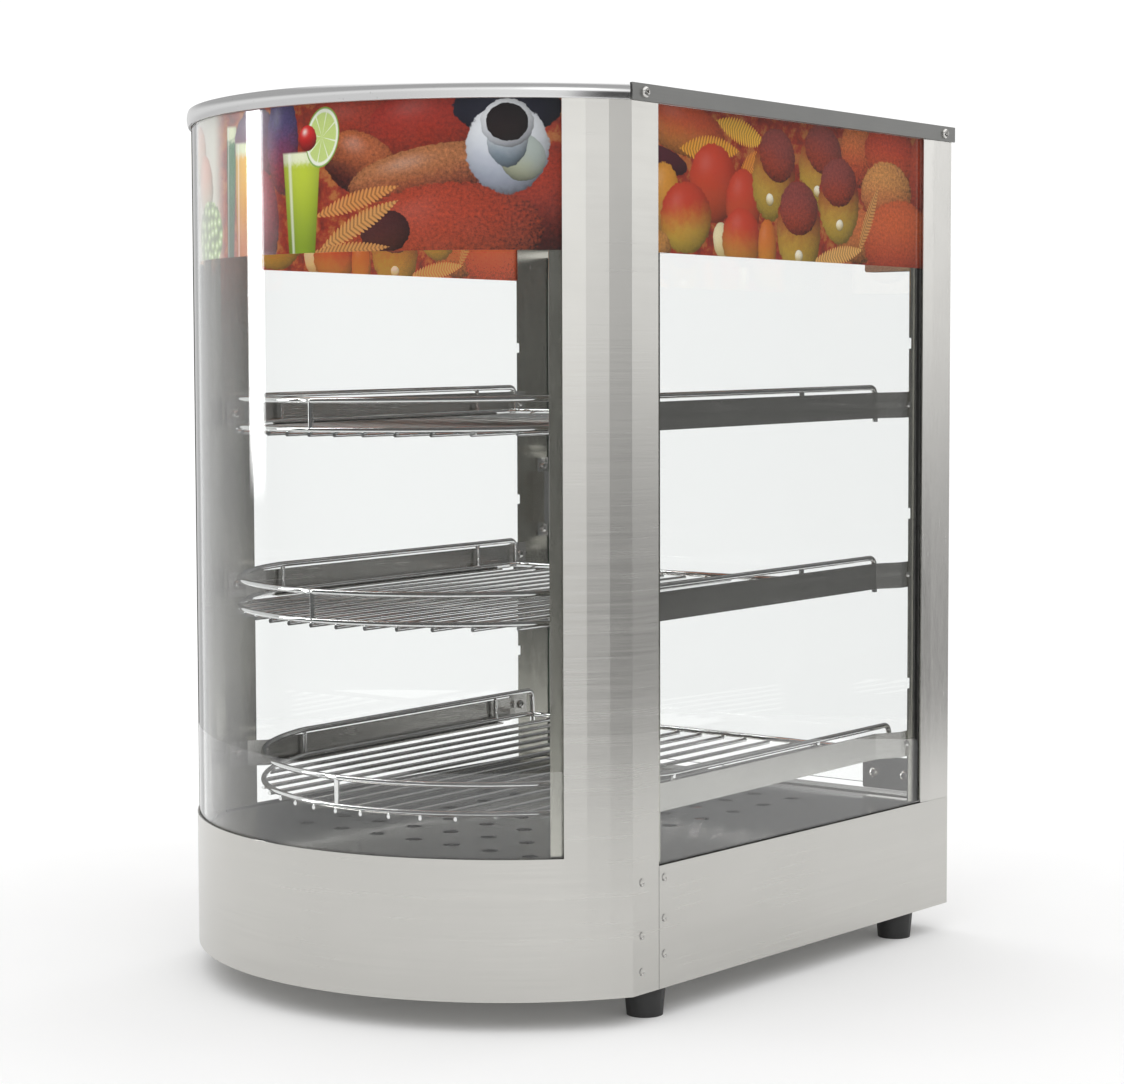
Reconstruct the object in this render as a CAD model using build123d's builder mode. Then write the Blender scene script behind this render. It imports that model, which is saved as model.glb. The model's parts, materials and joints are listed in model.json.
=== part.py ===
"""Countertop hot food display case: curved glass front, three wire racks, rear glass door.

Frame: +Z up from the surface the case stands on, -Y towards the customer, +X to the case's
right seen from behind the counter.  The origin is under the middle of the whole object.
All sizes are millimetres.
"""

from build123d import *
import math
import os

os.makedirs("parts", exist_ok=True)

# ---- overall sizes --------------------------------------------------------------------
CASE_WIDTH = 400.0
SIDE_LENGTH = 388.0
FRONT_BULGE = 114.0
CASE_HEIGHT = 610.0
FOOT_HEIGHT = 20.0
BASE_SIDE_TOP = 102.0
BASE_FRONT_TOP = 113.0
SHEET = 1.2
FIT_GAP = 0.1
SEAM_GAP = 0.4
GLASS_GAP = 0.4

# ---- top of the case ------------------------------------------------------------------
COVER_DEPTH = 11.0
COVER_SHEET = 1.0
TRIM_OVERHANG = 1.8
TRIM_FLAT = 0.7
TRIM_END_GAP = 0.4
RAIL_THICKNESS = 1.6
RAIL_REAR_OVERHANG = 2.6
RAIL_FRONT_OVERHANG = 1.0
RAIL_SCREW_INSET = 12.0
RAIL_HOLE_LENGTH = 9.6

# ---- uprights -------------------------------------------------------------------------
WINDOW_INSET = 27.2
SHELL_FACETS = 3
SHELL_FLANGE = 27.5
POST_WIDTH = 37.5
POST_LIP = 12.0
POST_LIP_DROP = 0.8
POST_RETURN = 8.0
INNER_POST_FRONT = 48.0
INNER_POST_REAR = 3.0
INNER_POST_LEG = 32.0
POST_BEND = 4.0
POST_FRONT_SETBACKS = (54.2, 38.0, 21.8)
NOTCH_RISE = 58.0
NOTCH_HEIGHT = 8.0
NOTCH_DEPTH = 3.0

# ---- glass and printed bands ----------------------------------------------------------
GLASS = 4.0
GLASS_SEAT = 6.0
GASKET_WALL = 1.0
PRINT_THICKNESS = 0.5
PRINT_TALL = 95.5
SIDE_GLASS_REAR = 18.0
SIDE_GLASS_FRONT_GAP = 5.0
FRONT_GLASS_SETBACK = 17.7
PRINT_SETBACK = 21.8

# ---- rear door ------------------------------------------------------------------------
DOOR_GLASS = 5.0
DOOR_EDGE_CHAMFER = 0.5
DOOR_RECESS = 4.0
DOOR_SIDE_GAP = 2.0
DOOR_BOTTOM = 104.5
DOOR_TOP_GAP = 3.0
HEADER_TALL = 69.0
HINGE_INSET = 10.0
CLAMP_WIDTH = 57.0
CLAMP_HEIGHT = 24.0
CLAMP_PLATE = 3.5
CLAMP_CORNER = 1.5
CLAMP_EDGE_GAP = 4.0
CLAMP_PAD = 0.3
CLAMP_WEB = 3.0
CLAMP_SCREW_PITCH = 28.0
CLAMP_SCREW_EDGE = 10.5
HINGE_PIN_RADIUS = 2.5
HINGE_FIT = 0.05
BUSH_WALL = 1.5
BUSH_FLANGE = 0.8
HINGE_PIN_LENGTH = 6.6
PRESS_GAP = 0.02
HANDLE_SCREW = 15.0
HANDLE_INSET = 25.0
HANDLE_PITCH = 80.0
HANDLE_BAR = 9.0
HANDLE_HEIGHT = 320.0
HANDLE_PROJECTION = 26.0
HANDLE_BEND = 12.0

# ---- door catch -----------------------------------------------------------------------
CATCH_HEIGHT = 322.0
CATCH_BODY_TALL = 43.0
CATCH_BODY_WIDE = 13.0
CATCH_BODY_DEEP = 19.0
CATCH_EAR_PITCH = 53.0
CATCH_EAR_TALL = 66.0
CATCH_EAR_DEEP = 14.0
MAGNET_GAP = 0.3
MAGNET_RADIUS = 5.0
MAGNET_DEPTH = 8.0
CATCH_STAND = 0.3
STRIKE_THICKNESS = 1.0
STRIKE_MARGIN = 1.0
STRIKE_CORNER = 2.0

# ---- rack supports --------------------------------------------------------------------
SHELF_TILT = 1.0
SHELF_HEIGHTS = {"bottom": 135.2, "middle": 262.8, "top": 389.6}
SHELF_REFERENCE = 215.0
STRIP_TALL = 19.0
STRIP_INSET = 20.0
STRIP_LEDGE = 10.0
STRIP_FRONT_TAB = 380.0
STRIP_FRONT_BEND = 362.0
STRIP_FRONT_STRAIGHT = 351.0
STRIP_REAR_STRAIGHT = 74.0
STRIP_REAR_BEND = 56.0
STRIP_REAR_TAB = 40.0
LEDGE_FRONT = 347.0
LEDGE_REAR = 93.0

# ---- wire racks -----------------------------------------------------------------------
RIM_WIRE = 4.0
FLOOR_WIRE = 3.0
LEG_WIRE = 3.6
RACK_INSET = 24.0
RACK_ARC_SPARE = 5.0
RACK_CORNER = 36.0
RACK_LENGTH = 407.0
RIM_SPACING = 19.5
RACK_REAR = {"bottom": 49.0, "middle": 70.0, "top": 70.0}
RACK_LEG_DROP = 6.0
RACK_REAR_BEND = 7.0
RACK_HOOK_BEND = 6.0
FLOOR_PITCH = 22.0
FLOOR_SIDE_COUNT = 7
WELD_BITE = 0.3
LEDGE_FIT = 0.05
RIM_CORNER = 8.0
WIRE_END = 2.0
RACK_MID_LEG_LEFT = 47.0
RACK_MID_LEG_RIGHT = 95.0
RACK_CORNER_LEG = 267.0

# ---- floor of the cabinet -------------------------------------------------------------
DECK_THICKNESS = 1.0
DECK_TOP = 101.0
DECK_HEM = 8.0
DECK_HOLE = 12.0
DECK_HOLE_PITCH_X = 35.4
DECK_HOLE_PITCH_Y = 38.2
DECK_HOLE_REAR = 76.0
DECK_HOLE_ROWS = 9
DECK_HOLE_SIDE_COUNT = 3
DECK_HOLE_MARGIN = 26.0
SILL_DEPTH = 18.0

# ---- feet -----------------------------------------------------------------------------
FOOT_TOP_RADIUS = 14.0
FOOT_BOTTOM_RADIUS = 12.2
FOOT_INSET = 17.0
FOOT_FRONT = 354.0
FOOT_REAR = 48.0
FOOT_RECESS = 6.0
FOOT_RECESS_GAP = 1.0
FOOT_SCREW_GRIP = 4.8

# ---- controls on the rear panel -------------------------------------------------------
CONTROL_HEIGHT = 62.0
KNOB_X = 95.0
KNOB_RADIUS = 19.0
KNOB_DEPTH = 17.0
KNOB_GAP = 0.8
KNOB_SKIRT = 4.0
KNOB_STEP = 4.0
KNOB_GRIP = 9.0
KNOB_TAPER = 5.0
KNOB_EDGE_RADIUS = 1.0
SHAFT_RADIUS = 3.0
SHAFT_CLEARANCE = 1.0
THERMOSTAT_SIZE = (40.0, 34.0, 34.0)
POWER_X = 30.0
LIGHT_X = -10.0
ROCKER_OPENING = (13.0, 19.0)
ROCKER_TILT = 9.0
ROCKER_GAP = 0.2
ROCKER_CROWN = 2.0
BEZEL_BORDER = 2.5
BEZEL_HEIGHT = 2.0
HOUSING_DEPTH = 22.0
HOUSING_WALL = 1.0
BEZEL_CORNER = 2.0
PILOT_X = -48.0
PILOT_RADIUS = 6.0
PILOT_LIP = 1.0
PILOT_TAPER = 20.0
GLAND_X = -150.0
GLAND_Z = 48.0
GLAND_BORE = 4.5
GLAND_OUTER = 9.0
GLAND_LIP = 2.0
GLAND_LENGTH = 14.0
GLAND_FACE = 5.0
TERMINAL_OFFSET = 35.0
TERMINAL_LENGTH = 50.0
TERMINAL_WIDTH = 18.0
TERMINAL_WAYS = 5
TERMINAL_HOLE = 2.0

# ---- heater and lamp ------------------------------------------------------------------
HEATER_TUBE = 4.0
HEATER_HALF = 95.0
HEATER_REAR = 110.0
HEATER_FRONT = 350.0
HEATER_HEIGHT = 78.0
HEATER_LOOP = 40.0
CLIP_WIDTH = 10.0
LAMP_DROP = 37.0
LAMP_LENGTH = 190.0
LAMP_RADIUS = 8.0
LAMP_BACK = 26.0
LAMP_END_RADIUS = 2.0

# ---- screws ---------------------------------------------------------------------------
SCREW_HEAD = 4.0
SCREW_HEAD_TALL = 2.4
SCREW_HEAD_TAPER = 14.0
SCREW_SHANK = 2.0
SCREW_RECESS = 0.9

# ---- worked-out places ----------------------------------------------------------------
CASE_DEPTH = SIDE_LENGTH + FRONT_BULGE
REAR = (CASE_DEPTH + TRIM_OVERHANG - HANDLE_PROJECTION) / 2
BEND = REAR - SIDE_LENGTH
HALF = CASE_WIDTH / 2
ARC = (HALF**2 + FRONT_BULGE**2) / (2 * FRONT_BULGE)
ARC_Y = BEND - FRONT_BULGE + ARC
CORNER_ANGLE = math.degrees(math.asin(HALF / ARC))
WINDOW_HALF = HALF - WINDOW_INSET
FRONT_GLASS_HALF_ANGLE = CORNER_ANGLE - math.degrees(FRONT_GLASS_SETBACK / ARC)
PRINT_HALF_ANGLE = CORNER_ANGLE - math.degrees(PRINT_SETBACK / ARC)
POST_FRONT_ANGLES = [CORNER_ANGLE - math.degrees(setback / ARC) for setback in POST_FRONT_SETBACKS]
FOOT_HALF_SPACING = HALF - FOOT_INSET
STRIP_HALF = HALF - STRIP_INSET
RACK_HALF = HALF - RACK_INSET
RACK_ARC = RACK_HALF + RACK_ARC_SPARE
COVER_BOTTOM = CASE_HEIGHT - COVER_DEPTH
PRINT_BOTTOM = COVER_BOTTOM - PRINT_TALL
HEADER_BOTTOM = COVER_BOTTOM - HEADER_TALL
DOOR_TOP = HEADER_BOTTOM - DOOR_TOP_GAP
LAMP_HEIGHT = COVER_BOTTOM - LAMP_DROP
GLASS_TOP = COVER_BOTTOM - FIT_GAP
SIDE_GLASS_OUT = HALF - SHEET - POST_LIP_DROP - GLASS_GAP
SIDE_PRINT_OUT = SIDE_GLASS_OUT - GLASS - FIT_GAP
INNER_POST_X = SIDE_PRINT_OUT - PRINT_THICKNESS - GLASS_GAP - SHEET / 2
TAB_X = INNER_POST_X - SHEET - FIT_GAP
FRONT_GLASS_OUT = ARC - SHEET - GLASS_GAP
FRONT_PRINT_OUT = FRONT_GLASS_OUT - GLASS - FIT_GAP
GLASS_BOTTOM = BASE_SIDE_TOP - GLASS_SEAT
DOOR_OUT = REAR - DOOR_RECESS
DOOR_IN = DOOR_OUT - DOOR_GLASS
CATCH_BACK = REAR - DOOR_IN + STRIKE_THICKNESS + MAGNET_GAP + CATCH_STAND
CATCH_EAR_Y = CATCH_BACK + CATCH_EAR_DEEP / 2
DOOR_HALF = HALF - POST_RETURN - DOOR_SIDE_GAP
HINGE_X = DOOR_HALF - HINGE_INSET
HINGE_Y = (DOOR_OUT + DOOR_IN) / 2
CLAMP_RIGHT = DOOR_HALF - CLAMP_EDGE_GAP
CLAMP_CENTRE = CLAMP_RIGHT - CLAMP_WIDTH / 2
CLAMP_SCREW_X = CLAMP_RIGHT - CLAMP_WIDTH + CLAMP_SCREW_EDGE
SIGNS = {"left": -1, "right": 1}


def arc_point(radius, angle):
    """Point on a circle about the front's centre, angle in degrees from straight ahead."""
    turn = math.radians(angle)
    return (radius * math.sin(turn), ARC_Y - radius * math.cos(turn))


def arc_y(radius, x):
    """Y of the front arc of that radius at a given X."""
    return ARC_Y - math.sqrt(radius**2 - x**2)


def d_plan(inset, rear_inset=0.0):
    """D-shaped plan outline, set in from the case's outer faces."""
    half = HALF - inset
    corner = arc_y(ARC - inset, half)
    with BuildLine() as edge:
        Line((-half, corner), (-half, REAR - rear_inset))
        Line((-half, REAR - rear_inset), (half, REAR - rear_inset))
        Line((half, REAR - rear_inset), (half, corner))
        ThreePointArc((half, corner), (0, ARC_Y - ARC + inset), (-half, corner))
    return edge


def shell_plan(inset):
    """The same D plan with the last stretch beside each corner folded in flat facets."""
    radius = ARC - inset
    start = math.degrees(math.asin(WINDOW_HALF / ARC))
    step = (CORNER_ANGLE - start) / SHELL_FACETS
    folds = [arc_point(radius, start + step * i) for i in range(SHELL_FACETS)]
    half = HALF - inset
    folds.append((half, arc_y(radius, half)))
    mirrored = [(-x, y) for x, y in folds]
    with BuildLine() as edge:
        ThreePointArc(mirrored[0], (0, ARC_Y - radius), folds[0])
        Polyline(*folds, (half, REAR), (-half, REAR), *reversed(mirrored))
    return edge


def arc_band(outer, inner, half_angle):
    """Curved strip in plan between two radii about the front's centre."""
    with BuildLine() as edge:
        out_left = arc_point(outer, -half_angle)
        out_right = arc_point(outer, half_angle)
        in_left = arc_point(inner, -half_angle)
        in_right = arc_point(inner, half_angle)
        ThreePointArc(out_left, (0, ARC_Y - outer), out_right)
        Line(out_right, in_right)
        ThreePointArc(in_right, (0, ARC_Y - inner), in_left)
        Line(in_left, out_left)
    return edge


def folded_strip(points, thickness):
    """Closed outline of a folded sheet whose middle line runs through the points."""
    left = []
    right = []
    last = len(points) - 1
    for i, (x, y) in enumerate(points):
        ahead = points[min(i + 1, last)]
        behind = points[max(i - 1, 0)]
        first = _normal(behind, (x, y)) if i > 0 else _normal((x, y), ahead)
        second = _normal((x, y), ahead) if i < last else first
        mean = (first[0] + second[0], first[1] + second[1])
        scale = thickness / (1 + first[0] * second[0] + first[1] * second[1]) / 2
        left.append((x + mean[0] * scale, y + mean[1] * scale))
        right.append((x - mean[0] * scale, y - mean[1] * scale))
    return left + right[::-1]


def _normal(start, end):
    """Unit normal to the left of a segment."""
    dx = end[0] - start[0]
    dy = end[1] - start[1]
    length = math.hypot(dx, dy)
    return (-dy / length, dx / length)


def mirror_x(points, sign):
    """The same plan points on the chosen side of the case."""
    return [(sign * x, y) for x, y in points]


def across(x, y, z, sign=1):
    """Plane whose normal points along +X (or -X), with its own X along Y."""
    return Plane(origin=(x, y, z), x_dir=(0, sign, 0), z_dir=(sign, 0, 0))


def facing_rear(x, y, z):
    """Plane whose normal points out of the back of the case."""
    return Plane(origin=(x, y, z), x_dir=(-1, 0, 0), z_dir=(0, 1, 0))


def save(part, label):
    """Label a finished piece and write it."""
    part.label = label
    export_step(part, f"parts/{label}.step")


def pan_screws(planes, shank_length):
    """Group of pan-head screws, one on each plane, heads on the plane's positive side."""
    with BuildPart() as screws:
        for plane in planes:
            with BuildSketch(plane):
                Circle(SCREW_HEAD)
            extrude(amount=SCREW_HEAD_TALL, taper=SCREW_HEAD_TAPER)
            with BuildSketch(plane):
                Circle(SCREW_SHANK)
            extrude(amount=-shank_length)
            with BuildSketch(plane.offset(SCREW_HEAD_TALL)):
                Rectangle(SCREW_HEAD, SCREW_RECESS)
                Rectangle(SCREW_RECESS, SCREW_HEAD)
            extrude(amount=-SCREW_RECESS, mode=Mode.SUBTRACT)
    return screws.part


# ---- base -----------------------------------------------------------------------------
foot_places = [(s * FOOT_HALF_SPACING, REAR - y) for s in (-1, 1) for y in (FOOT_FRONT, FOOT_REAR)]
with BuildPart() as bottom_plate:
    with BuildSketch(Plane.XY.offset(FOOT_HEIGHT)):
        with BuildLine():
            add(d_plan(SHEET + 2 * FIT_GAP, SHEET + FIT_GAP).line)
        make_face()
        with Locations(*foot_places):
            Circle(SCREW_SHANK + FIT_GAP, mode=Mode.SUBTRACT)
    extrude(amount=SHEET)
save(bottom_plate.part, "bottom_plate")

with BuildPart() as front_shell:
    with BuildSketch(Plane.XY.offset(FOOT_HEIGHT)):
        with BuildLine():
            add(shell_plan(0).line)
        make_face()
        with BuildLine():
            add(shell_plan(SHEET).line)
        make_face(mode=Mode.SUBTRACT)
        with Locations((0, BEND + SHELL_FLANGE)):
            behind = (Align.CENTER, Align.MIN)
            Rectangle(2 * CASE_WIDTH, 2 * CASE_DEPTH, align=behind, mode=Mode.SUBTRACT)
    extrude(amount=COVER_BOTTOM - FOOT_HEIGHT)
    with BuildSketch(Plane.XY.offset(BASE_FRONT_TOP)):
        Rectangle(WINDOW_HALF * 2, CASE_DEPTH * 2)
    extrude(amount=CASE_HEIGHT, mode=Mode.SUBTRACT)
save(front_shell.part, "front_shell")

for side, sign in SIGNS.items():
    with BuildPart() as side_panel:
        with BuildSketch(Plane.XY.offset(FOOT_HEIGHT)):
            with Locations((sign * (HALF - SHEET / 2), (BEND + SHELL_FLANGE + SEAM_GAP + REAR) / 2)):
                Rectangle(SHEET, SIDE_LENGTH - SHELL_FLANGE - SEAM_GAP)
        extrude(amount=BASE_SIDE_TOP - FOOT_HEIGHT)
    save(side_panel.part, f"side_panel_{side}")

with BuildPart() as rear_panel:
    panel_half = HALF - SHEET - FIT_GAP
    with BuildSketch(Plane.XY.offset(FOOT_HEIGHT)):
        with Locations((0, REAR - SHEET / 2)):
            Rectangle(2 * panel_half, SHEET)
    extrude(amount=BASE_SIDE_TOP - FOOT_HEIGHT)
    with BuildSketch(Plane.XY.offset(BASE_SIDE_TOP - SHEET)):
        with Locations((0, REAR - SILL_DEPTH / 2)):
            Rectangle(2 * panel_half, SILL_DEPTH)
        with Locations((HINGE_X, HINGE_Y)):
            Circle(HINGE_PIN_RADIUS + HINGE_FIT + BUSH_WALL, mode=Mode.SUBTRACT)
    extrude(amount=SHEET)
    with BuildSketch(facing_rear(0, REAR, CONTROL_HEIGHT)):
        with Locations((-KNOB_X, 0)):
            Circle(SHAFT_RADIUS + SHAFT_CLEARANCE)
        with Locations((-POWER_X, 0), (-LIGHT_X, 0)):
            Rectangle(ROCKER_OPENING[0] + 2 * HOUSING_WALL, ROCKER_OPENING[1] + 2 * HOUSING_WALL)
        with Locations((-PILOT_X, 0)):
            Circle(PILOT_RADIUS - PILOT_LIP)
        with Locations((-GLAND_X, GLAND_Z - CONTROL_HEIGHT)):
            Circle(GLAND_OUTER - GLAND_LIP)
    extrude(amount=-2 * SHEET, mode=Mode.SUBTRACT)
save(rear_panel.part, "rear_control_panel")

with BuildPart() as deck:
    deck_inset = SHEET + GLASS_GAP + GLASS + 2 * GASKET_WALL + 2 * GLASS_GAP
    deck_rear = SILL_DEPTH + GLASS_GAP
    with BuildSketch(Plane.XY.offset(DECK_TOP - DECK_THICKNESS)):
        with BuildLine():
            add(d_plan(deck_inset, deck_rear).line)
        make_face()
        hole_rows = [REAR - DECK_HOLE_REAR - DECK_HOLE_PITCH_Y * i for i in range(DECK_HOLE_ROWS)]
        deck_arc = ARC - deck_inset - DECK_HOLE_MARGIN
        hole_places = [
            (DECK_HOLE_PITCH_X * i, y)
            for y in hole_rows
            for i in range(-DECK_HOLE_SIDE_COUNT, DECK_HOLE_SIDE_COUNT + 1)
            if math.hypot(DECK_HOLE_PITCH_X * i, y - ARC_Y) < deck_arc or y > ARC_Y
        ]
        with Locations(*hole_places):
            Circle(DECK_HOLE / 2, mode=Mode.SUBTRACT)
    extrude(amount=DECK_THICKNESS)
    with BuildSketch(Plane.XY.offset(DECK_TOP - DECK_HEM)):
        with BuildLine():
            add(d_plan(deck_inset, deck_rear).line)
        make_face()
        with BuildLine():
            add(d_plan(deck_inset + DECK_THICKNESS, deck_rear + DECK_THICKNESS).line)
        make_face(mode=Mode.SUBTRACT)
    extrude(amount=DECK_HEM)
save(deck.part, "deck")

with BuildPart() as feet:
    for fx, fy in foot_places:
        with BuildSketch(Plane.XY):
            with Locations((fx, fy)):
                Circle(FOOT_BOTTOM_RADIUS)
        with BuildSketch(Plane.XY.offset(FOOT_HEIGHT - FIT_GAP)):
            with Locations((fx, fy)):
                Circle(FOOT_TOP_RADIUS)
        loft()
        with BuildSketch(Plane.XY):
            with Locations((fx, fy)):
                Circle(SCREW_HEAD + FOOT_RECESS_GAP)
        extrude(amount=FOOT_RECESS, mode=Mode.SUBTRACT)
        with BuildSketch(Plane.XY):
            with Locations((fx, fy)):
                Circle(SCREW_SHANK + FIT_GAP)
        extrude(amount=FOOT_HEIGHT, mode=Mode.SUBTRACT)
save(feet.part, "feet")

foot_screw_planes = [
    Plane(origin=(fx, fy, FOOT_RECESS), x_dir=(1, 0, 0), z_dir=(0, 0, -1)) for fx, fy in foot_places
]
save(pan_screws(foot_screw_planes, FOOT_HEIGHT - FOOT_RECESS + FOOT_SCREW_GRIP), "foot_screws")

# ---- uprights -------------------------------------------------------------------------
post_bottom = BASE_SIDE_TOP + GLASS_GAP
shelf_slope = math.radians(SHELF_TILT)


def shelf_plane(level):
    """Plane of one shelf: under the strips, tipped so that the front is the lower edge."""
    return Plane(
        origin=(0, REAR - SHELF_REFERENCE, SHELF_HEIGHTS[level]),
        x_dir=(1, 0, 0),
        z_dir=(0, -math.sin(shelf_slope), math.cos(shelf_slope)),
    )


def along(distance_from_rear):
    """Place along a shelf plane for a distance forward of the case's rear face."""
    return SHELF_REFERENCE - distance_from_rear


tab_front = along((STRIP_FRONT_TAB + STRIP_FRONT_BEND) / 2)
tab_rear = along((STRIP_REAR_BEND + STRIP_REAR_TAB) / 2)


def tab_screw_places(x):
    """Centres of the two screws of each shelf strip, at a given X, in the case's frame."""
    return [
        tuple(shelf_plane(level).from_local_coords(Vector(x, v, STRIP_TALL / 2)))
        for level in SHELF_HEIGHTS
        for v in (tab_front, tab_rear)
    ]


def cut_screw_holes(places, depth):
    """Holes across the case for screws that run along X."""
    with Locations(*[across(*place) for place in places]):
        Cylinder(SCREW_SHANK + FIT_GAP, 2 * depth, mode=Mode.SUBTRACT)


catch_screw_places = [
    (-INNER_POST_X, REAR - CATCH_EAR_Y, CATCH_HEIGHT + s * CATCH_EAR_PITCH / 2) for s in (-1, 1)
]

for side, sign in SIGNS.items():
    leg_radius = FRONT_PRINT_OUT - PRINT_THICKNESS - GLASS_GAP - SHEET / 2
    front_line = [arc_point(leg_radius, angle) for angle in POST_FRONT_ANGLES]
    front_line += [(INNER_POST_X, BEND + POST_BEND), (INNER_POST_X, BEND + POST_BEND + INNER_POST_LEG)]
    with BuildPart() as front_post:
        with BuildSketch(Plane.XY.offset(post_bottom)):
            with BuildLine():
                Polyline(*mirror_x(folded_strip(front_line, SHEET), sign), close=True)
            make_face()
        extrude(amount=GLASS_TOP - post_bottom)
        cut_screw_holes(tab_screw_places(sign * INNER_POST_X)[0::2], 2 * SHEET)
    save(front_post.part, f"front_post_{side}")

    post_outline = [
        (HALF - POST_LIP_DROP, REAR - POST_WIDTH),
        (HALF, REAR - POST_WIDTH + POST_LIP),
        (HALF, REAR),
        (HALF - POST_RETURN, REAR),
        (HALF - POST_RETURN, REAR - SHEET),
        (HALF - SHEET, REAR - SHEET),
        (HALF - SHEET, REAR - POST_WIDTH + POST_LIP),
        (HALF - SHEET - POST_LIP_DROP, REAR - POST_WIDTH),
    ]
    with BuildPart() as rear_post:
        with BuildSketch(Plane.XY.offset(BASE_SIDE_TOP + FIT_GAP)):
            with BuildLine():
                Polyline(*mirror_x(post_outline, sign), close=True)
            make_face()
        extrude(amount=COVER_BOTTOM - BASE_SIDE_TOP - FIT_GAP)
    save(rear_post.part, f"rear_post_{side}")

    inner_line = [
        (INNER_POST_X, REAR - INNER_POST_FRONT),
        (INNER_POST_X, REAR - INNER_POST_REAR),
        (HALF - SHEET - FIT_GAP, REAR - INNER_POST_REAR),
    ]
    with BuildPart() as inner_post:
        with BuildSketch(Plane.XY.offset(BASE_SIDE_TOP + GLASS_GAP)):
            with BuildLine():
                Polyline(*mirror_x(folded_strip(inner_line, SHEET), sign), close=True)
            make_face()
        extrude(amount=GLASS_TOP - BASE_SIDE_TOP - GLASS_GAP)
        cut_screw_holes(tab_screw_places(sign * INNER_POST_X)[1::2], 2 * SHEET)
        for level in SHELF_HEIGHTS:
            notch_z = SHELF_HEIGHTS[level] + NOTCH_RISE
            with BuildSketch(across(sign * INNER_POST_X, REAR - INNER_POST_FRONT, notch_z)):
                Rectangle(2 * NOTCH_DEPTH, NOTCH_HEIGHT)
            extrude(amount=2 * SHEET, both=True, mode=Mode.SUBTRACT)
        if side == "left":
            cut_screw_holes(catch_screw_places, 2 * SHEET)
    save(inner_post.part, f"rear_inner_post_{side}")

# ---- glass, gaskets and printed bands ---------------------------------------------------
with BuildPart() as front_glass:
    with BuildSketch(Plane.XY.offset(GLASS_BOTTOM)):
        with BuildLine():
            add(arc_band(FRONT_GLASS_OUT, FRONT_GLASS_OUT - GLASS, FRONT_GLASS_HALF_ANGLE).line)
        make_face()
    extrude(amount=GLASS_TOP - GLASS_BOTTOM)
save(front_glass.part, "front_glass")

with BuildPart() as print_front:
    with BuildSketch(Plane.XY.offset(PRINT_BOTTOM)):
        with BuildLine():
            add(arc_band(FRONT_PRINT_OUT, FRONT_PRINT_OUT - PRINT_THICKNESS, PRINT_HALF_ANGLE).line)
        make_face()
    extrude(amount=GLASS_TOP - PRINT_BOTTOM)
save(print_front.part, "print_front")

gasket_bottom = GLASS_BOTTOM - GASKET_WALL - FIT_GAP
gasket_top = BASE_SIDE_TOP - FIT_GAP
side_glass_front = BEND + SIDE_GLASS_FRONT_GAP
side_glass_rear = REAR - SIDE_GLASS_REAR
side_glass_middle = (side_glass_front + side_glass_rear) / 2
side_glass_length = side_glass_rear - side_glass_front
with BuildPart() as gaskets:
    arc_lip = FRONT_GLASS_OUT - GLASS - FIT_GAP
    side_lip = SIDE_GLASS_OUT - GLASS - FIT_GAP
    with BuildSketch(Plane.XY.offset(gasket_bottom)):
        with BuildLine():
            add(arc_band(FRONT_GLASS_OUT, arc_lip - GASKET_WALL, FRONT_GLASS_HALF_ANGLE).line)
        make_face()
        for sign in (-1, 1):
            with Locations((sign * (SIDE_GLASS_OUT + side_lip - GASKET_WALL) / 2, side_glass_middle)):
                Rectangle(SIDE_GLASS_OUT - side_lip + GASKET_WALL, side_glass_length)
    extrude(amount=GASKET_WALL)
    with BuildSketch(Plane.XY.offset(gasket_bottom)):
        with BuildLine():
            add(arc_band(arc_lip, arc_lip - GASKET_WALL, FRONT_GLASS_HALF_ANGLE).line)
        make_face()
        for sign in (-1, 1):
            with Locations((sign * (side_lip - GASKET_WALL / 2), side_glass_middle)):
                Rectangle(GASKET_WALL, side_glass_length)
    extrude(amount=gasket_top - gasket_bottom)
save(gaskets.part, "glass_gaskets")

for side, sign in SIGNS.items():
    with BuildPart() as side_glass:
        with BuildSketch(Plane.XY.offset(GLASS_BOTTOM)):
            with Locations((sign * (SIDE_GLASS_OUT - GLASS / 2), side_glass_middle)):
                Rectangle(GLASS, side_glass_length)
        extrude(amount=GLASS_TOP - GLASS_BOTTOM)
    save(side_glass.part, f"side_glass_{side}")
    with BuildPart() as side_print:
        with BuildSketch(Plane.XY.offset(PRINT_BOTTOM)):
            with Locations((sign * (SIDE_PRINT_OUT - PRINT_THICKNESS / 2), side_glass_middle)):
                Rectangle(PRINT_THICKNESS, side_glass_length)
        extrude(amount=GLASS_TOP - PRINT_BOTTOM)
    save(side_print.part, f"print_{side}")

# ---- top of the case --------------------------------------------------------------------
rail_screw_planes = [
    across(sign * (HALF + RAIL_THICKNESS), y, COVER_BOTTOM + COVER_DEPTH / 2, sign)
    for sign in (-1, 1)
    for y in (BEND + RAIL_SCREW_INSET, REAR - RAIL_SCREW_INSET)
]


def cut_rail_screw_holes():
    """Holes for the screws that hold the top rails to the cover's rim."""
    with Locations(*rail_screw_planes):
        Cylinder(SCREW_SHANK + FIT_GAP, RAIL_HOLE_LENGTH, mode=Mode.SUBTRACT)


with BuildPart() as top_cover:
    with BuildSketch(Plane.XY.offset(CASE_HEIGHT - COVER_SHEET)):
        with BuildLine():
            add(d_plan(FIT_GAP).line)
        make_face()
    extrude(amount=COVER_SHEET)
    with BuildSketch(Plane.XY.offset(COVER_BOTTOM + FIT_GAP)):
        with BuildLine():
            add(d_plan(FIT_GAP).line)
        make_face()
        with BuildLine():
            add(d_plan(FIT_GAP + COVER_SHEET, COVER_SHEET).line)
        make_face(mode=Mode.SUBTRACT)
    extrude(amount=COVER_DEPTH - FIT_GAP)
    cut_rail_screw_holes()
save(top_cover.part, "top_cover")

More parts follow.
